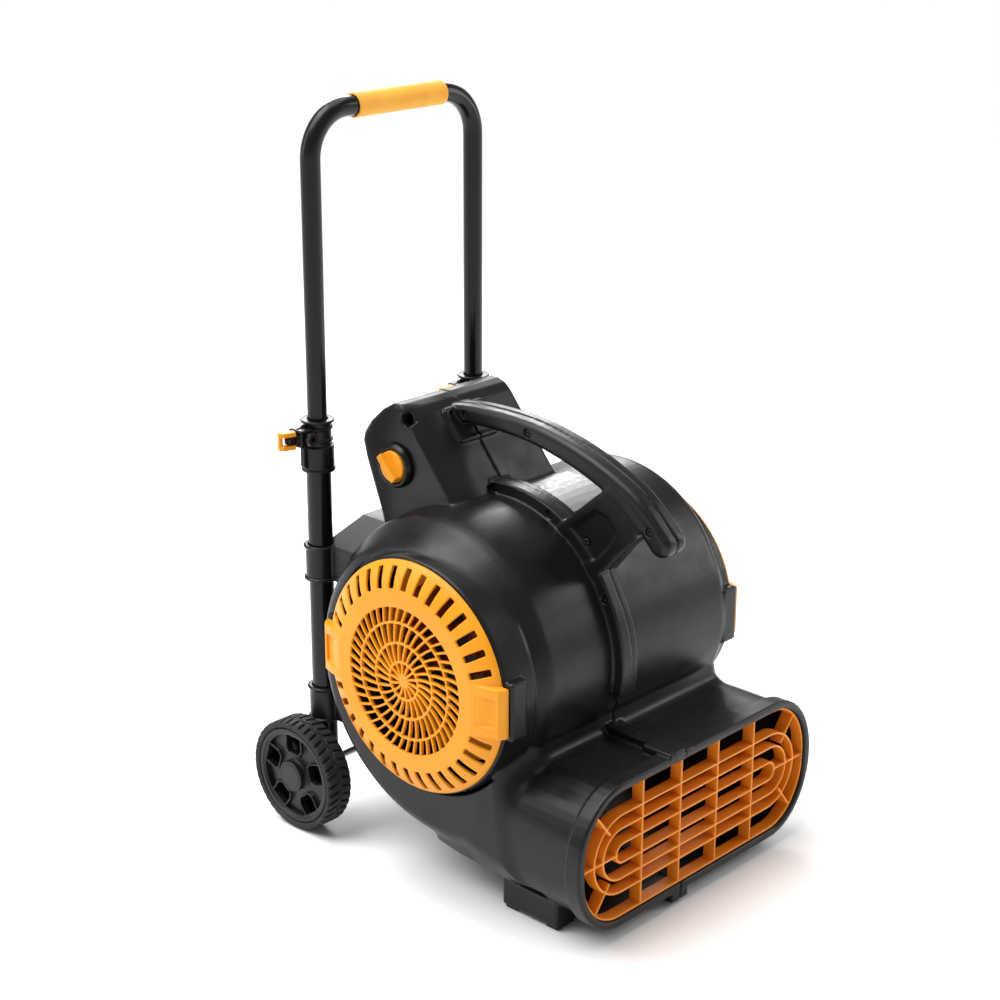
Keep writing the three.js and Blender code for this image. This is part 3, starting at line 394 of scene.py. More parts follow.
def duct_outline(rise=0.0):
    half = (DUCT_TOP - DUCT_BOTTOM) / 2 + rise
    bulge = DUCT_HALF_WIDTH - DUCT_FLAT + rise
    points = []
    for start, side in ((-90, 1), (90, -1)):
        for step in range(25):
            a = math.radians(start + step * 7.5)
            out = bulge * abs(math.cos(a)) ** 0.95
            points.append((OUTLET_X + side * (DUCT_FLAT + out), DUCT_MIDDLE + half * math.sin(a)))
    return points


def box_outline(rise=0.0):
    return [
        (-12 - rise, 440), (20 - rise, 478.5 + rise), (92 - rise, 565.5 + rise), (101, 573 + rise),
        (114, 577.5 + rise), (127, 577 + rise), (147 + rise, 565 + rise), (168 + rise, 546 + rise),
        (180 + rise, 529), (183 + rise, 518), (177 + rise, 495), (150 + rise, 426),
        (140 + rise, 392 - rise), (0, 392 - rise),
    ]


HANDLE_LINE = [(122, 550), (60, 560), (-25, 560), (-90, 549), (-150, 530), (-205, 503), (-246, 465)]
HANDLE_ROOT, HANDLE_END = 11.5, 15.5  # half its height


def smooth_line(points, count):
    """Catmull-Rom curve through points, as count + 1 points and directions."""
    padded = [2 * np.array(points[0]) - np.array(points[1]), *map(np.array, points)]
    padded.append(2 * np.array(points[-1]) - np.array(points[-2]))
    found = []
    for i in range(count + 1):
        t = i / count * (len(points) - 1)
        k = min(int(t), len(points) - 2)
        f = t - k
        a, b, c, d = padded[k:k + 4]
        bend, twist = 2 * a - 5 * b + 4 * c - d, 3 * b - a - 3 * c + d
        spot = 0.5 * (2 * b + (c - a) * f + bend * f ** 2 + twist * f ** 3)
        ahead = 0.5 * (c - a + 2 * bend * f + 3 * twist * f ** 2)
        found.append((spot, ahead / np.linalg.norm(ahead)))
    return found


def handle_outline():
    line = smooth_line(HANDLE_LINE, 30)
    halves = np.linspace(HANDLE_ROOT, HANDLE_END, len(line))
    upper = [(p[0] + t[1] * h, p[1] - t[0] * h) for (p, t), h in zip(line, halves)]
    lower = [(p[0] - t[1] * h, p[1] + t[0] * h) for (p, t), h in zip(line, halves)]
    tip, ahead = line[-1]
    nose = []
    for k in range(1, 12):
        out, up = HANDLE_END * math.sin(k * math.pi / 12), HANDLE_END * math.cos(k * math.pi / 12)
        nose.append((tip[0] + ahead[0] * out + ahead[1] * up, tip[1] + ahead[1] * out - ahead[0] * up))
    return upper + nose + lower[::-1]


SCREW_COUNT = 8


def screw_points():
    """Centres of the screws that enter the left half, as (y, z, x of the hole's mouth)."""
    found = []
    for i in range(1, SCREW_COUNT + 1):
        low, high = corners(f"assembly_screw_{i}")
        found.append(((low[1] + high[1]) / 2, (low[2] + high[2]) / 2, low[0] - 2))
    return found


# ---------------------------------------------------------------- housing
def volute_space(g, rise=0.0):
    """The drum: a broad bevel on the left edge, a round shoulder on the right."""
    flat = outline(volute_outline(rise), g.y, g.z)
    tilt = math.atan2(BEVEL_DROP, BEVEL_WIDTH)
    past = VOLUTE_LEFT - rise + BEVEL_WIDTH - g.x
    drum = both(flat, flat * math.cos(tilt) + past * math.sin(tilt), 4)
    drum = both(drum, VOLUTE_LEFT - rise - g.x, 9)
    return both(drum, g.x - VOLUTE_RIGHT - rise, SHOULDER + rise)


def duct_space(g, rise=0.0, front=OUTLET_Y):
    section = outline(duct_outline(rise), g.x, g.z)
    side = outline([
        (front, DUCT_BOTTOM - rise), (NECK, DUCT_BOTTOM - rise), (BELLY[0], BELLY[1] - rise),
        (FAN_Y, BELLY[1] - rise), (FAN_Y, DUCT_TOP + rise), (front, DUCT_TOP + rise),
    ], g.y, g.z)
    left, right = OUTLET_X - DUCT_HALF_WIDTH - rise, OUTLET_X + DUCT_HALF_WIDTH + rise
    plan = outline([
        (left, front), (right, front), (right, NECK), (VOLUTE_RIGHT - 12 + rise, -110),
        (VOLUTE_RIGHT - 26 + rise, FAN_Y), (VOLUTE_LEFT + 20 - rise, FAN_Y),
        (VOLUTE_LEFT + 2 - rise, -110), (left, NECK),
    ], g.x, g.y)
    return both(both(section, side, 3), plan, 8)


def flange_space(g):
    """Proud flange on both sides of the seam. On the duct it becomes a lip that ends in a square block."""
    rings = []
    for x0, x1, step in ((SEAM - FLANGE_LEFT, SEAM + 1, 0), (SEAM - 1, SEAM + FLANGE_RIGHT, FLANGE_STEP)):
        flat = outline(volute_arc(-12, 109, 3, FLANGE_RISE - step) + [(FAN_Y, FAN_Z)], g.y, g.z)
        ring = both(flat, slab(g.x, x0, x1), 1.2)
        top = DUCT_TOP + LIP_RISE - step
        runner = block(g, x0, x1, OUTLET_Y + 1, FAN_Y, DUCT_TOP - 8, top, 1.2)
        rings.append(melt(ring, runner, 14))
    space = np.minimum(*rings)
    end = block(g, SEAM - LIP_LEFT, SEAM, OUTLET_Y + 0.6, OUTLET_Y + 46,
                DUCT_TOP - 8, DUCT_TOP + LIP_RISE, 1.2)
    return melt(space, end, 3)


def front_axes(g):
    """Height above the control box's leaning front, and the way up along it."""
    y, z = g.y - BOX_FRONT[0], g.z - BOX_FRONT[1]
    return z * math.sin(LEAN) - y * math.cos(LEAN), y * math.sin(LEAN) + z * math.cos(LEAN)


def control_space(g):
    """Control box: a strip is bevelled off between its knob face and its front."""
    above, along = front_axes(g)
    space = both(outline(box_outline(), g.y, g.z), slab(g.x, BOX_LEFT, BOX_RIGHT), 6)
    strip_wide, strip_deep = 35, 8
    strip = math.atan2(strip_deep, strip_wide)
    space = both(space, above * math.cos(strip) + (BOX_LEFT + strip_wide - g.x) * math.sin(strip), 3)
    # framed seat of the carrying handle
    seat = both(both(slab(g.x, SEAM - 36, SEAM + 36), slab(along, 62, 112), 7), slab(above, -12, 5), 1.5)
    sunk = both(both(slab(g.x, SEAM - 30, SEAM + 30), slab(along, 68, 106), 5), slab(above, 2.2, 12), 1)
    return melt(space, cut(seat, sunk, 0.8), 2)


def handle_space(g):
    """Carrying handle and the pedestal that holds its front end, with a sunk panel on each side."""
    pedestal_flat = outline([(-76, 438), (-101, 462), (-152.5, 507), (-175, 524), (-222, 482), (-212, 466),
                             (-188, 444), (-127, 370)], g.y, g.z)
    pedestal = both(pedestal_flat, slab(g.x, SEAM - 20, SEAM + 20), 2)
    panel_flat = outline([(-98, 432), (-112, 455), (-150, 486), (-170, 482), (-182, 466), (-172, 446),
                          (-150, 423), (-122, 410)], g.y, g.z)
    pedestal = cut(pedestal, both(panel_flat, -slab(g.x, SEAM - 15.5, SEAM + 15.5), 0.5), 0.8)
    grip = both(outline(handle_outline(), g.y, g.z), slab(g.x, SEAM - 19, SEAM + 19), 8)
    return melt(pedestal, grip, 3)


def housing_space(g):
    volute = volute_space(g)
    radius = round_x(g, FAN_Y, FAN_Z, 0)
    space = melt(volute, duct_space(g), 16)
    frame_band = both(outline(duct_outline(FRAME_RISE - SKIN), g.x, g.z),
                      slab(g.y, OUTLET_Y + SKIN, NECK), 1.6)
    space = melt(space, frame_band, 2)
    # collars that carry the intake grilles, with a shallow groove round each
    for side, wall, deep in ((-1, VOLUTE_LEFT, 36), (1, VOLUTE_RIGHT, 12)):
        out = side * (g.x - wall)
        collar = both(radius - (150.4 - 0.06 * out), slab(out, -deep, COLLAR_LENGTH), 1.6)
        space = melt(space, collar, 3)
        ditch = both(np.abs(radius - 153.5) - 2, slab(out, -2.5, 12), 1.5)
        space = cut(space, ditch, 1.5)
        for back in (-1, 1):
            near, far = sorted((FAN_Y + back * COLLAR_BORE, FAN_Y + back * BOSS_REACH))
            x0, x1 = sorted((wall - side * 15, wall + side * COLLAR_LENGTH))
            space = melt(space, block(g, x0, x1, near, far, FAN_Z - 37, FAN_Z + 37, 2.5), 2.5)
    space = melt(space, flange_space(g), 1.5)
    space = melt(space, control_space(g), 3.5)
    space = melt(space, handle_space(g), 2)
    # toe at the seam, and foot blocks round the pads
    toe = block(g, SEAM - 16, SEAM + 16, OUTLET_Y + 1, OUTLET_Y + 30, 4, DUCT_BOTTOM + 6, 1.2)
    space = melt(space, toe, 1.5)
    for low, high in (foot_left, foot_right):
        x0, x1 = low[0] - FOOT_EDGE, high[0] + FOOT_EDGE
        space = melt(space, block(g, x0, x1, *FOOT_Y, *FOOT_Z, 1.8), 3)
    return space, volute, radius


def housing_shell(g):
    space, volute, radius = housing_space(g)
    hollow = np.minimum(volute_space(g, -WALL), duct_space(g, -WALL, OUTLET_Y - 9))
    hollow = np.minimum(hollow, radius - COLLAR_BORE)
    pocket = both(outline(box_outline(-WALL - 6), g.y, g.z),
                  slab(g.x, BOX_LEFT + WALL + 8, BOX_RIGHT - WALL))
    hollow = np.minimum(hollow, cut(pocket, volute))
    space = cut(space, hollow, 1)
    # knob stem, recess at the top corner of the knob face, cord gland and screw holes
    knob_low, knob_high = corners("speed_knob")
    knob_y, knob_z = (knob_low[1] + knob_high[1]) / 2, (knob_low[2] + knob_high[2]) / 2
    space = cut(space, both(round_x(g, knob_y, knob_z, 5), slab(g.x, BOX_LEFT - 9, BOX_LEFT + 9)))
    space = cut(space, both(round_x(g, *RECESS), slab(g.x, BOX_LEFT - 9, BOX_LEFT + 10.5), 1), 2)
    gland_low, gland_high = corners("cord_gland")
    gland_x, gland_z = (gland_low[0] + gland_high[0]) / 2, (gland_low[2] + gland_high[2]) / 2
    space = cut(space, both(round_y(g, gland_x, gland_z, 9.5), slab(g.y, 100, 260)))
    for y, z, x in screw_points():
        space = cut(space, both(round_x(g, y, z, 5.2), slab(g.x, x - 8, x + 7)), 0.6)
    # long pocket in the duct's side above each foot, closed at its back
    skin = duct_space(g, -1)
    for outer, outward in ((foot_left[0][0] - FOOT_EDGE, -1), (foot_right[1][0] + FOOT_EDGE, 1)):
        reach = outward * (g.x - outer)
        casing = both(both(slab(g.y, -214, -154), slab(g.z, 39, 60), 3), slab(reach, -4, 60))
        space = melt(space, both(casing, skin), 1)
        pocket_hole = both(both(slab(g.y, -210, -158), slab(g.z, 43, 56), 3), slab(reach, -1, 60))
        space = cut(space, pocket_hole, 1)
    return space


HOUSING_STEP = 2.0


def make_housing(side, name, low, high):
    """One moulded half: scroll, control box and carrying handle in one skin."""
    g = Grid(low, high, HOUSING_STEP)
    space = np.maximum(housing_shell(g), side * (SEAM - g.x) + SEAM_GAP)
    mesh = skin_mesh(f"housing_{name}_shell", g, space)
    return add_piece(f"housing_{name}_shell", mesh, black_plastic, "housing", "housing_black",
                     f"housing_{name}", f"control_box_{name}", f"carry_handle_{name}")


top = max(control_high[2], corners("carry_handle_left")[1][2])
make_housing(-1, "left", left_low, (left_high[0], left_high[1], top))
make_housing(1, "right", right_low, (right_high[0], right_high[1], top))


# ---------------------------------------------------------------- small mouldings
def carved(name, low, high, step, field, material):
    """Mesh of field(g) over a block of space, in millimetres."""
    g = Grid(low, high, step)
    mesh = skin_mesh(name, g, field(g))
    mesh.materials.append(material)
    return mesh


def put(name, mesh, body, replaced, at=(0, 0, 0), turn=0.0):
    """A mesh placed at a point given in millimetres, turned about the upright line through it."""
    piece = bpy.data.objects.new(name, mesh)
    bpy.context.scene.collection.objects.link(piece)
    piece.location = [v * MM for v in at]
    piece.rotation_euler = (0, 0, turn)
    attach(piece, body)
    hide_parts(replaced)
    return piece


def centre(node):
    low, high = corners(node)
    return (low + high) / 2


# inner radius, outer radius, number of ribs and how far they lean, in radians
SPIRAL = [(8, 24, 14, 0.12), (24, 48, 25, 0.15), (48, 74, 35, 0.13), (74, 96, 45, 0.1)]


def grille_field(g):
    """Domed intake grille: its face at x = 0, its rim towards +x, centred on the axis."""
    r = np.hypot(g.y, g.z)
    a = np.arctan2(g.z, g.y)
    dome = outline([
        (93, 0.2), (112, 0.4), (117, 1.1), (123, 3), (131, 6.6), (139, 11.4), (144.5, 15.6), (147.2, 18.6),
        (147.3, 21.8), (140.5, 21.8), (140, 18.5), (134, 13.5), (127, 9), (119, 5.4), (112, 4.4), (93, 4.2),
    ], r, g.x)
    pitch = math.radians(10)
    near = (a + pitch / 2) % pitch - pitch / 2
    slots = both(np.abs(r * np.sin(near)) - 4.3, slab(r, 115.5, 141), 1.2)
    by_tab = np.minimum(np.abs(a), math.pi - np.abs(a)) < math.radians(15)
    dome = cut(dome, np.where(by_tab, 9.0, slots), 0.8)
    ribs = r - 8.2
    for r0, r1, count, lean in SPIRAL:
        step = 2 * math.pi / count
        twist = a - lean * (r - r0) / (r1 - r0)
        rib = np.abs(r * ((twist + step / 2) % step - step / 2)) * 0.95 - 1.4
        ribs = np.minimum(ribs, np.maximum(rib, slab(r, r0, r1)))
        ribs = np.minimum(ribs, np.abs(r - r1) - 1.5)
    space = np.minimum(dome, both(ribs, slab(g.x, 0.3, 5.6), 0.6))
    reach = np.abs(g.y)
    tab = outline([(0.4, 109), (1.4, 120), (4.4, 134), (9, 148), (13.5, 152), (16, 153.7), (21.8, 153.7),
                   (21.8, 141), (12, 134), (6, 109)], g.x, reach)
    tab = both(tab, np.abs(g.z) - 31.8, 2.2)
    dish = outline([(-3, 117), (-3, 144), (11.5, 144), (8, 131), (4.4, 117)], g.x, reach)
    tab = cut(tab, both(dish, np.abs(g.z) - 19, 4), 1.2)
    return melt(space, tab, 1.5)


grille_mesh = carved("intake_grille_cover", (0, -154, -148), (GRILLE_DEPTH, 154, 148), 1.0, grille_field,
                     amber_plastic)
put("intake_grille_left_cover", grille_mesh, "housing", "intake_grille_left",
    (grille_low[0], FAN_Y, FAN_Z))
put("intake_grille_right_cover", grille_mesh, "housing", "intake_grille_right",
    (corners("intake_grille_right")[1][0], FAN_Y, FAN_Z), math.pi)


def outlet_field(g):
    """Outlet grille, centred on its middle: three stadium loops, four bars and the end spokes."""
    section = outline([(x - OUTLET_X, z - DUCT_MIDDLE) for x, z in duct_outline()], g.x, g.z)
    net = np.abs(section + WALL + 1.75) - 1.4
    # half length and half height of each loop
    for length, height in ((198, 53), (182, 35), (158, 14)):
        loop = np.hypot(np.maximum(np.abs(g.x) - (length - height), 0), g.z) - height
        net = np.minimum(net, np.abs(loop + 1.5) - 1.4)
    for k in (-1.5, -0.5, 0.5, 1.5):
        net = np.minimum(net, np.abs(g.x - k * BAR_PITCH) - 1.4)
    aside = np.abs(g.x) - 190
    net = np.minimum(net, both(np.abs(aside) - 36, np.abs(g.z) - 1.4))
    for tilt in (52, -52):
        c, s = math.cos(math.radians(tilt)), math.sin(math.radians(tilt))
        u, v = np.abs(g.x) - 182, g.z - math.copysign(50, tilt)
        net = np.minimum(net, both(np.abs(u * c + v * s) - 23, np.abs(v * c - u * s) - 1.4))
    net = np.maximum(net, section + WALL + 0.4)
    return both(net, np.abs(g.y) - 8.9, 0.8)


outlet_low, outlet_high = corners("outlet_grille")
half = (outlet_high - outlet_low) / 2
outlet_mesh = carved("outlet_grille_net", -half, half, 0.9, outlet_field, orange_plastic)
put("outlet_grille_net", outlet_mesh, "housing", "outlet_grille",
    (OUTLET_X, (outlet_low[1] + outlet_high[1]) / 2, DUCT_MIDDLE))


# ---------------------------------------------------------------- wheels, their outer face at x = 0
def rim_field(g):
    r = np.hypot(g.y, g.z)
    fold = math.radians(72)
    a = (np.arctan2(g.y, g.z) + fold / 2) % fold - fold / 2
    u, v = r * np.sin(a), r * np.cos(a)
    window = outline([(-9, 31), (9, 31), (13, 37), (12.5, 54), (-12.5, 54), (-13, 37)], u, v)
    barrel = both(slab(r, 58.5, 64.8), slab(g.x, 2.4, 37), 1.2)
    disc = both(slab(r, 18, 60), slab(g.x - 0.05 * (r - 40), 10, 14), 0.8)
    frames = both(both(np.abs(window - 1.4) - 1.4, slab(r, 20, 60)), slab(g.x, 5, 15), 0.7)
    ledge = both(slab(r, 56, 61), slab(g.x, 4.2, 9), 0.8)
    space = melt(melt(barrel, disc, 3), ledge, 1)
    space = melt(space, frames, 1.2)
    space = cut(space, both(window, slab(g.x, 3, 18)), 0.6)
    space = np.minimum(space, both(slab(r, 18, 60), slab(g.x, 23, 25.5)))  # closed back
    hub = both(r - 20.4, slab(g.x, 5.8, 38.6), 1)
    space = melt(space, hub, 2.5)
    return cut(space, r - 6.3)


def tyre_field(g):
    """Block tread: slanted grooves from each shoulder, staggered from side to side."""
    r = np.hypot(g.y, g.z)
    a = np.arctan2(g.y, g.z)
    body = both(slab(r, 65.4, 74.9), slab(g.x, 0.2, 39.8), 4.5)
    pitch = 2 * math.pi / 40
    side = np.where(g.x < 20, 0.0, 0.5)
    slant = (a + np.abs(g.x - 20) * 0.0035) / pitch + side
    groove = np.abs((slant + 0.5) % 1 - 0.5) * pitch * 75 - 2.0
    mask = both(groove, 3.4 - np.abs(g.x - 20), 0.5)
    rut = np.abs(g.x - 20 - 2.2 * np.sin(a * 20)) - 1.1
    body = cut(body, both(np.minimum(mask, rut), 72.3 - r, 0.6), 0.7)
    bead = both(np.abs(r - 69) - 0.6, g.x - 0.9)
    return cut(body, bead, 0.5)


def cap_field(g):
    r = np.hypot(g.y, g.z)
    cap = both(r - 20.9, slab(g.x, -1.9, 5.6), 1.3)
    return cut(cap, both(np.abs(r - 17.5) - 0.5, g.x + 1.3), 0.4)


rim_mesh = carved("wheel_rim_disc", (2, -65, -65), (39, 65, 65), 0.9, rim_field, wheel_plastic)
tyre_mesh = carved("tyre_tread", (0, -75, -75), (40, 75, 75), 0.9, tyre_field, rubber)
cap_mesh = carved("hub_cap_face", (-2, -21, -21), (6, 21, 21), 0.6, cap_field, wheel_plastic)
for side, turn in (("left", 0.0), ("right", math.pi)):
    tyre_box = corners(f"tyre_{side}")
    at = (tyre_box[0][0] if side == "left" else tyre_box[1][0], *((tyre_box[0] + tyre_box[1]) / 2)[1:])
    body = f"wheel_{side}"
    put(f"wheel_rim_{side}_disc", rim_mesh, body, f"wheel_rim_{side}", at, turn)
    put(f"tyre_{side}_tread", tyre_mesh, body, f"tyre_{side}", at, turn)
    put(f"hub_cap_{side}_face", cap_mesh, body, f"hub_cap_{side}", at, turn)


# ---------------------------------------------------------------- trolley tubes, grip and clamps
def rings_mesh(name, rings, material, closed=False):
    """Skin over rings of points, each in millimetres with the same count. closed joins last to first."""
    points = [p for ring in rings for p in ring]
    count = len(rings[0])
    faces = []
    for i in range(len(rings) if closed else len(rings) - 1):
        a, b = i * count, (i + 1) % len(rings) * count
        for k in range(count):
            n = (k + 1) % count
            faces.append((a + k, a + n, b + n, b + k))
    mesh = bpy.data.meshes.new(name)
    mesh.from_pydata([[v * MM for v in p] for p in points], [], faces)
    tidy = bmesh.new()
    tidy.from_mesh(mesh)
    bmesh.ops.recalc_face_normals(tidy, faces=tidy.faces)
    if tidy.calc_volume(signed=True) < 0:
        bmesh.ops.reverse_faces(tidy, faces=tidy.faces)
    tidy.to_mesh(mesh)
    tidy.free()
    mesh.shade_smooth()
    mesh.set_sharp_from_angle(angle=math.radians(38))
    mesh.materials.append(material)
    return mesh


def handle_path():
    points = [(TUBE_LEFT, tube_low[2] + t) for t in (0.1, 40, 160, 300)]
    points += [(TUBE_LEFT, BAR_Z - BEND_RADIUS - 0.5)]
    for i in range(1, 19):
        a = i * math.pi / 36
        points.append((TUBE_LEFT + BEND_RADIUS * (1 - math.cos(a)),
                       BAR_Z - BEND_RADIUS * (1 - math.sin(a))))
    middle = (TUBE_LEFT + TUBE_RIGHT) / 2
    return points + [(2 * middle - x, z) for x, z in reversed(points)]


def swept_handle():
    """U-shaped tube, open at both lower ends."""
    path = handle_path()
    rings = []
    for radius, order in ((UPPER_RADIUS - SKIN, range(len(path))), (11.2, reversed(range(len(path))))):
        for i in order:
            before, after = np.array(path[max(i - 1, 0)]), np.array(path[min(i + 1, len(path) - 1)])
            ahead = (after - before) / np.linalg.norm(after - before)
            ring = []
            for k in range(40):
                a = k * math.pi / 20
                c, s = radius * math.cos(a), radius * math.sin(a)
                ring.append((path[i][0] + ahead[1] * c, TUBE_Y + s, path[i][1] - ahead[0] * c))
            rings.append(ring)
    return rings_mesh("handle_tube_bent", rings, tube_coat, True)


def turned(name, profile, axis, material, sides=48):
    """Closed profile of (radius, height) turned about an axis through the origin, X or Z."""
    rings = []
    for radius, height in profile:
        ring = []
        for k in range(sides):
            a = k * 2 * math.pi / sides
            c, s = radius * math.cos(a), radius * math.sin(a)
            ring.append((height, c, s) if axis == "X" else (c, s, height))
        rings.append(ring)
    return rings_mesh(name, rings, material, True)


put("handle_tube_bent", swept_handle(), "handle", "handle_tube")

grip_low, grip_high = corners("handle_grip")
grip_half = (grip_high[0] - grip_low[0]) / 2
grip_radius = (grip_high[2] - grip_low[2]) / 2
grip_profile = [(UPPER_RADIUS + 0.2, -grip_half + 0.6), (grip_radius - 1.6, -grip_half + 0.1),
                (grip_radius - 0.5, -grip_half + 0.7), (grip_radius - 0.1, -grip_half + 2.2)]
grip_profile += [(grip_radius - 0.35, -grip_half + 5), (grip_radius - 0.35, grip_half - 5)]
grip_profile += [(r, -h) for r, h in reversed(grip_profile[:4])]
grip_mesh = turned("handle_grip_foam", grip_profile, "X", grip_foam, 56)
put("handle_grip_foam", grip_mesh, "handle", "handle_grip", (grip_low + grip_high) / 2)

leg_length = LOWER_TOP - leg_left[0][2]
leg_profile = [(13.7, 0.2), (LOWER_RADIUS - 0.8, 0.1), (LOWER_RADIUS - 0.1, 0.9),
               (LOWER_RADIUS - 0.1, leg_length - 0.9), (LOWER_RADIUS - 0.8, leg_length - 0.1),
               (13.7, leg_length - 0.2)]
leg_mesh = turned("lower_tube_coated", leg_profile, "Z", tube_coat)
for side, leg, x in (("left", leg_left, TUBE_LEFT), ("right", leg_right, TUBE_RIGHT)):
    put(f"lower_tube_{side}_coated", leg_mesh, "housing", f"lower_tube_{side}",
        (x, TUBE_Y, leg[0][2]))


def clamp_field(g):
    """Split clamp with flared ends, centred on the tube; its ears point along -x. z = 0 at the bolt."""
    r = np.hypot(g.x, g.y)
    space = both(r - 20.6, slab(g.z, -48.8, -15), 1)
    space = melt(space, both(r - 21.6, slab(g.z, -48.8, -45), 0.8), 0.8)
    space = melt(space, both(r - 17.5, slab(g.z, -17, 18.7), 0.8), 1.5)
    space = melt(space, both(r - 21.7, slab(g.z, 15.2, 18.8), 0.9), 1.2)
    for height in (-8, 8):
        space = melt(space, both(r - 19.4, slab(g.z, height - 1.6, height + 1.6), 0.8), 1)
    space = melt(space, block(g, -38, -12, -11.8, 11.8, -10.8, 11.8, 2.2), 1.5)
    space = melt(space, block(g, -51.8, -36, -5.8, 5.8, -5, 5, 2), 1.5)
    web = outline([(-14, -48.5), (-26.8, -39), (-26.8, -12), (-14, -11)], g.x, g.z)
    space = melt(space, both(web, np.abs(g.y) - 3.8, 0.8), 1.2)
    space = cut(space, both(r - 16.3, g.z + 16.9))
    space = cut(space, r - 13.1)
    space = cut(space, block(g, -34, -10, -1.5, 1.5, -14, 14), 0.3)
    return cut(space, round_z(g, -CLAMP_PIN, 0, 3))


def lever_field(g):
    """Cam lever with two cheeks, about its pin at the origin. z = 0 at the bolt."""
    cheek = outline([(6, -5.8), (6, 4.8), (-14, 5.8), (-15.8, 3), (-15.8, -3), (-10, -6.8)], g.x, g.y)
    space = both(cheek, slab(np.abs(g.z), 5.6, 11.4), 1.2)
    space = melt(space, block(g, -15.8, -10.2, -2.9, 2.9, -10, 10, 1.2), 1)
    return np.minimum(space, both(round_z(g, 0, 0, 2.6), slab(g.z, -9, 9)))


def bolt_field(g):
    """Clamp bolt along y, on the origin: hexagon head with a socket, shank and nut."""
    r = np.hypot(g.x, g.z)
    a = np.arctan2(g.x, g.z)
    fold = math.radians(60)
    near = (a + fold / 2) % fold - fold / 2
    head = both(r * np.cos(near) - 7.7, slab(g.y, -19.8, -12.4), 1)
    head = both(head, r - 8.9 + (-18.6 - g.y), 0)
    head = cut(head, np.maximum(r * np.cos(near) - 3.4, g.y + 15), 0.3)
    nut = both(r * np.cos(near) - 5.6, slab(g.y, 12.4, 16.8), 0.6)
    return np.minimum(np.minimum(head, nut), both(r - 3, slab(g.y, -14, 15)))


clamp_mesh = carved("clamp_collar_split", (-52, -22, -49), (22, 22, 19), 0.8, clamp_field, trim_plastic)
lever_mesh = carved("clamp_lever_cam", (-16, -7, -12), (6, 6, 12), 0.5, lever_field, amber_plastic)
bolt_mesh = carved("clamp_bolt_hex", (-9, -20, -9), (9, 17, 9), 0.5, bolt_field, black_steel)
for side, x, turn in (("left", TUBE_LEFT, -0.35), ("right", TUBE_RIGHT, 0.0)):
    put(f"clamp_collar_{side}_split", clamp_mesh, "housing", f"clamp_collar_{side}",
        (x, TUBE_Y, CLAMP_Z))
    put(f"clamp_bolt_{side}_hex", bolt_mesh, "housing", f"clamp_bolt_{side}",
        (x - CLAMP_BOLT, TUBE_Y, CLAMP_Z))
    put(f"clamp_lever_{side}_cam", lever_mesh, f"lever_{side}", f"clamp_lever_{side}",
        (x - CLAMP_PIN, TUBE_Y, CLAMP_Z), turn)


def member_field(z0, z1, rise):
    """Field of a cross member behind the drum, with a flared sleeve round each tube."""
    middle = (TUBE_LEFT + TUBE_RIGHT) / 2

    def field(g):
        face = outline([(TUBE_LEFT, z0 + 0.3), (TUBE_RIGHT, z0 + 0.3), (TUBE_RIGHT, z1 - 0.3),
                        (middle + 70, z1 + rise - 0.3), (middle - 70, z1 + rise - 0.3),
                        (TUBE_LEFT, z1 - 0.3)], g.x, g.z)
        space = both(face, slab(g.y, 120, TUBE_Y - 3.3), 3)
        panel = both(outline([(middle - 60, z0 + 9), (middle + 60, z0 + 9), (middle + 60, z1 - 9),
                              (middle - 60, z1 - 9)], g.x, g.z), TUBE_Y - 5.5 - g.y, 1)
        space = cut(space, panel, 0.8)
        for x in (TUBE_LEFT, TUBE_RIGHT):
            r = round_z(g, x, TUBE_Y, 0)
            space = melt(space, both(r - LOWER_RADIUS - 3.7, slab(g.z, z0 + 0.2, z1 - 0.2), 1), 2)
            for low in (z0, z1 - 4):
                lip = both(r - LOWER_RADIUS - 6.3, slab(g.z, low + 0.2, low + 3.8), 1)
                space = melt(space, lip, 1.2)
            space = cut(space, r - LOWER_RADIUS - 0.3)
        space = cut(space, volute_space(g, 0.3))
        room = both(outline(box_outline(0.3), g.y, g.z), slab(g.x, BOX_LEFT - 0.3, BOX_RIGHT + 0.3))
        return cut(space, room)

    return field


# lower and upper edge of each, and how far its middle rises
for place, z0, z1, rise in (("upper", 337, 385, 22), ("lower", 140, 188, 0)):
    node = f"cross_member_{place}"
    low, high = corners(node)
    mesh = carved(node + "_moulding", low, high, 1.5, member_field(z0, z1, rise), black_plastic)
    put(node + "_moulding", mesh, "housing", node)


# ---------------------------------------------------------------- knob, gland, screws and feet
def knob_field(g):
    """Speed knob with its finger bar, along the axis x; x = 0 at the outer face of its disc."""
    r = np.hypot(g.y, g.z)
    disc = both(r - 20.8 + 0.25 * np.maximum(3 - g.x, 0), slab(g.x, 0.1, 8.9), 1.4)
    bar = both(both(r - 19.8, np.abs(g.y) - (4.6 + 0.12 * (g.x + 10)), 1.5), slab(g.x, -9.8, 1.5), 1.8)
    disc = melt(disc, bar, 1.6)
    notch = both(np.abs(g.y) - 0.7, both(slab(g.z, 8, 21), g.x + 8.8))
    disc = cut(disc, notch, 0.4)
    for k in range(24):
        a = k * math.pi / 12
        flute = np.hypot(g.y - 22.3 * math.cos(a), g.z - 22.3 * math.sin(a)) - 2.0
        disc = cut(disc, np.maximum(flute, 1.5 - g.x), 0.5)
    return np.minimum(disc, both(r - 3.9, slab(g.x, 6, 25.8)))


def bezel_field(g):
    r = np.hypot(g.y, g.z)
    ring = both(slab(r, 22.1, 28.9), slab(g.x, -8.9, -0.4), 0.8)
    return both(ring, (r - 25.4) * 0.8 - (g.x + 9) * 0.6, 0.8)


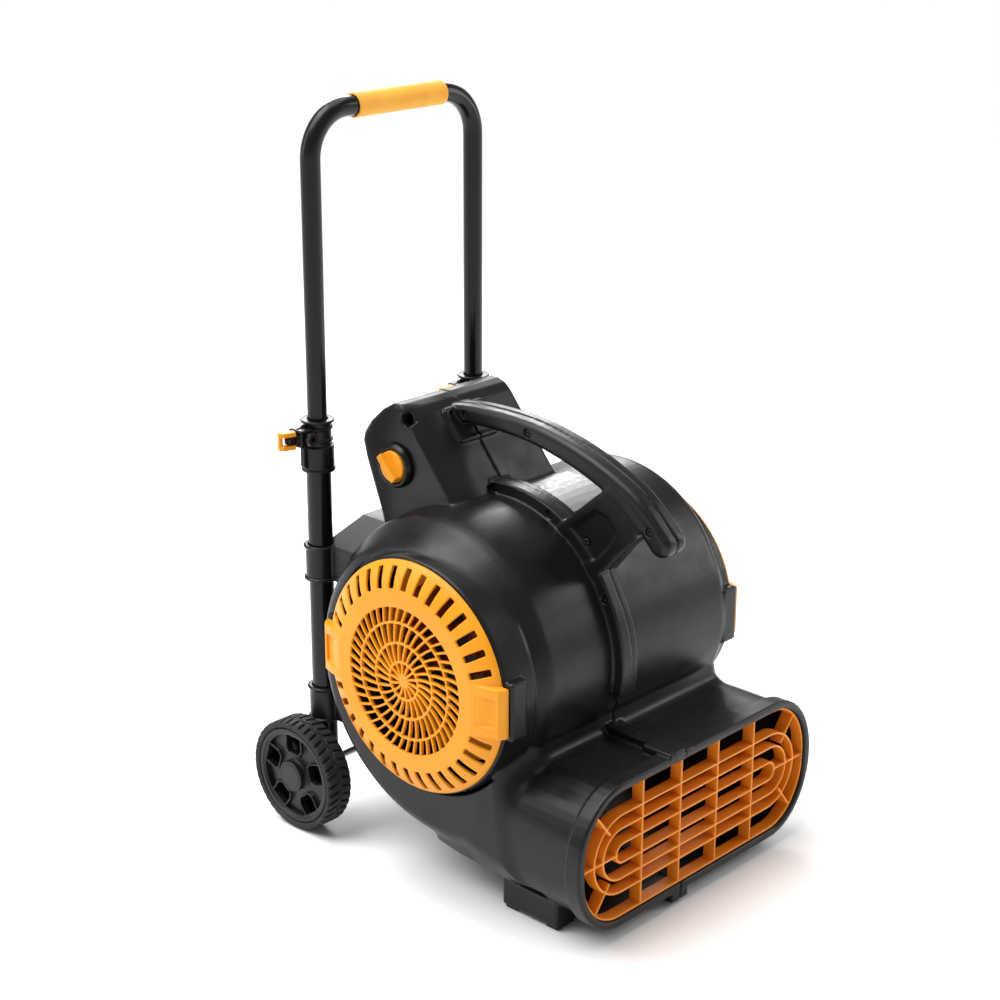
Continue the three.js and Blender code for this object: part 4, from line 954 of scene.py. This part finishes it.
def screw_field(g):
    """Pan head with a cross recess, x = 0 at its outer face."""
    r = np.hypot(g.y, g.z)
    head = both(r - 4.5, slab(g.x, 0.1, 4.6), 1.1)
    y, z = np.abs(g.y), np.abs(g.z)
    cross = np.minimum(both(y - 0.6, z - 2.6), both(z - 0.6, y - 2.6))
    return cut(head, np.maximum(cross, g.x - 2), 0.2)


def gland_field(g):
    """Cord gland along y, from -12 to 12, with a hexagon flange and ribbed sleeve."""
    r = np.hypot(g.x, g.z)
    sleeve = both(r - 8.9 + 0.35 * np.cos(g.y * 2.2), slab(g.y, -11.8, 11.8), 0.8)
    a = np.arctan2(g.x, g.z)
    fold = math.radians(60)
    flat = r * np.cos((a + fold / 2) % fold - fold / 2) - 10.3
    sleeve = melt(sleeve, both(flat, slab(g.y, 4.2, 9.8), 0.7), 0.6)
    return cut(sleeve, r - 4.6, 0.5)


def pad_field(g):
    pad = block(g, -15.8, 15.8, -8.9, 8.9, 0.1, 4.6, 1.2)
    groove = both(np.abs((g.x + 3) % 6 - 3) - 0.8, g.z - 1.1)
    return cut(pad, groove, 0.4)


knob_low, knob_high = corners("speed_knob")
knob_mesh = carved("speed_knob_grip", (-10, -21, -21), (26, 21, 21), 0.5, knob_field, amber_plastic)
knob_at = (knob_low[0] + 10, (knob_low[1] + knob_high[1]) / 2, (knob_low[2] + knob_high[2]) / 2)
knob = bpy.data.objects.new("speed_knob_grip", knob_mesh)
bpy.context.scene.collection.objects.link(knob)
knob.location = [v * MM for v in knob_at]
knob.rotation_euler = (-0.75, 0, 0)
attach(knob, "knob")
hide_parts("speed_knob")

bezel_mesh = carved("knob_bezel_ring", (-9, -29, -29), (0, 29, 29), 0.6, bezel_field, trim_plastic)
put("knob_bezel_ring", bezel_mesh, "housing", "knob_bezel", (BOX_LEFT, *knob_at[1:]))
gland_mesh = carved("cord_gland_ribbed", (-12, -12, -12), (12, 12, 12), 0.5, gland_field, trim_plastic)
put("cord_gland_ribbed", gland_mesh, "housing", "cord_gland", centre("cord_gland"))
screw_mesh = carved("assembly_screw_head", (0, -4.6, -4.6), (4.7, 4.6, 4.6), 0.3, screw_field, black_steel)
for i in range(1, SCREW_COUNT + 1):
    screw_at = centre(f"assembly_screw_{i}")
    put(f"assembly_screw_{i}_head", screw_mesh, "housing", f"assembly_screw_{i}",
        (corners(f"assembly_screw_{i}")[0][0], *screw_at[1:]))
pad_mesh = carved("foot_pad_grooved", (-16, -9, 0), (16, 9, 4.7), 0.6, pad_field, rubber)
for side in ("left", "right"):
    for end in ("front", "back"):
        pad_at = centre(f"foot_pad_{side}_{end}")
        put(f"foot_pad_{side}_{end}_grooved", pad_mesh, "housing", f"foot_pad_{side}_{end}",
            (pad_at[0], pad_at[1], 0))


# ---------------------------------------------------------------- materials on the CAD nodes that stay
STAYING = {
    "impeller": orange_plastic, "motor": cast_alloy, "motor_mount": cast_alloy,
    "shaft_bearing": bright_steel, "motor_shaft": bright_steel, "axle": bright_steel,
    "speed_switch": dark_plastic, "run_capacitor": cast_alloy, "rating_plate": foil,
}
for name, material in STAYING.items():
    node = nodes[name]
    node.data.materials.clear()
    node.data.materials.append(material)


# ---------------------------------------------------------------- stage, light and camera
def make_stage():
    bpy.ops.mesh.primitive_plane_add(size=400, location=(0, 0, -0.0005))
    floor = bpy.context.object
    floor.name = "studio_floor"
    material, tree, shader = new_material("studio_floor", (0.93, 0.93, 0.93), 0.6)
    tree.links.new(spread(tree, noise(tree, 3, 3), 0.6, 0.7), shader.inputs["Roughness"])
    shader.inputs["Specular IOR Level"].default_value = 0.2
    floor.data.materials.append(material)
    world = bpy.data.worlds.new("studio")
    world.use_nodes = True
    backdrop = world.node_tree.nodes["Background"]
    backdrop.inputs["Color"].default_value = (1, 1, 1, 1)
    backdrop.inputs["Strength"].default_value = 0.32
    bpy.context.scene.world = world
    data = bpy.data.lights.new("ceiling", "SUN")
    data.angle = math.radians(50)
    data.energy = 2.9
    lamp = bpy.data.objects.new("ceiling", data)
    lamp.rotation_euler = Vector((0.35, -0.3, -1)).to_track_quat("-Z", "Y").to_euler()
    bpy.context.scene.collection.objects.link(lamp)


def softbox(name, place, aim, size, power):
    data = bpy.data.lights.new(name, "AREA")
    data.shape = "RECTANGLE"
    data.size, data.size_y = size
    data.energy = power
    lamp = bpy.data.objects.new(name, data)
    lamp.location = place
    lamp.rotation_euler = (Vector(aim) - Vector(place)).to_track_quat("-Z", "Y").to_euler()
    lamp.visible_camera = False
    bpy.context.scene.collection.objects.link(lamp)


def make_camera():
    """The photograph's viewpoint: a long lens, from the left front and a little above."""
    azimuth, elevation, roll = map(math.radians, (-46.872, 19.454, 0.173))
    back = Vector((math.sin(azimuth) * math.cos(elevation), -math.cos(azimuth) * math.cos(elevation),
                   math.sin(elevation)))
    data = bpy.data.cameras.new("camera")
    data.sensor_width = 36
    data.lens = 74.506
    data.clip_end = 100
    camera = bpy.data.objects.new("camera", data)
    camera.location = (-1.8168, -1.6561, 1.3206)
    turn = (-back).to_track_quat("-Z", "Y").to_matrix() @ Matrix.Rotation(roll, 3, "Z")
    camera.rotation_euler = turn.to_euler()
    bpy.context.scene.collection.objects.link(camera)
    bpy.context.scene.camera = camera


make_stage()
softbox("overhead", (0.2, 0.5, 2.6), (0, 0, 0.3), (1.8, 1.8), 22)
softbox("front_right", (2.4, -1.6, 1.5), (0, 0, 0.35), (0.9, 2.0), 26)
softbox("left_back", (-1.8, 1.9, 1.7), (0, 0, 0.4), (1.0, 2.0), 18)
softbox("rim_light", (1.7, 1.9, 1.7), (0, 0, 0.45), (1.6, 0.9), 45)
make_camera()
bpy.context.scene.view_settings.view_transform = "Standard"
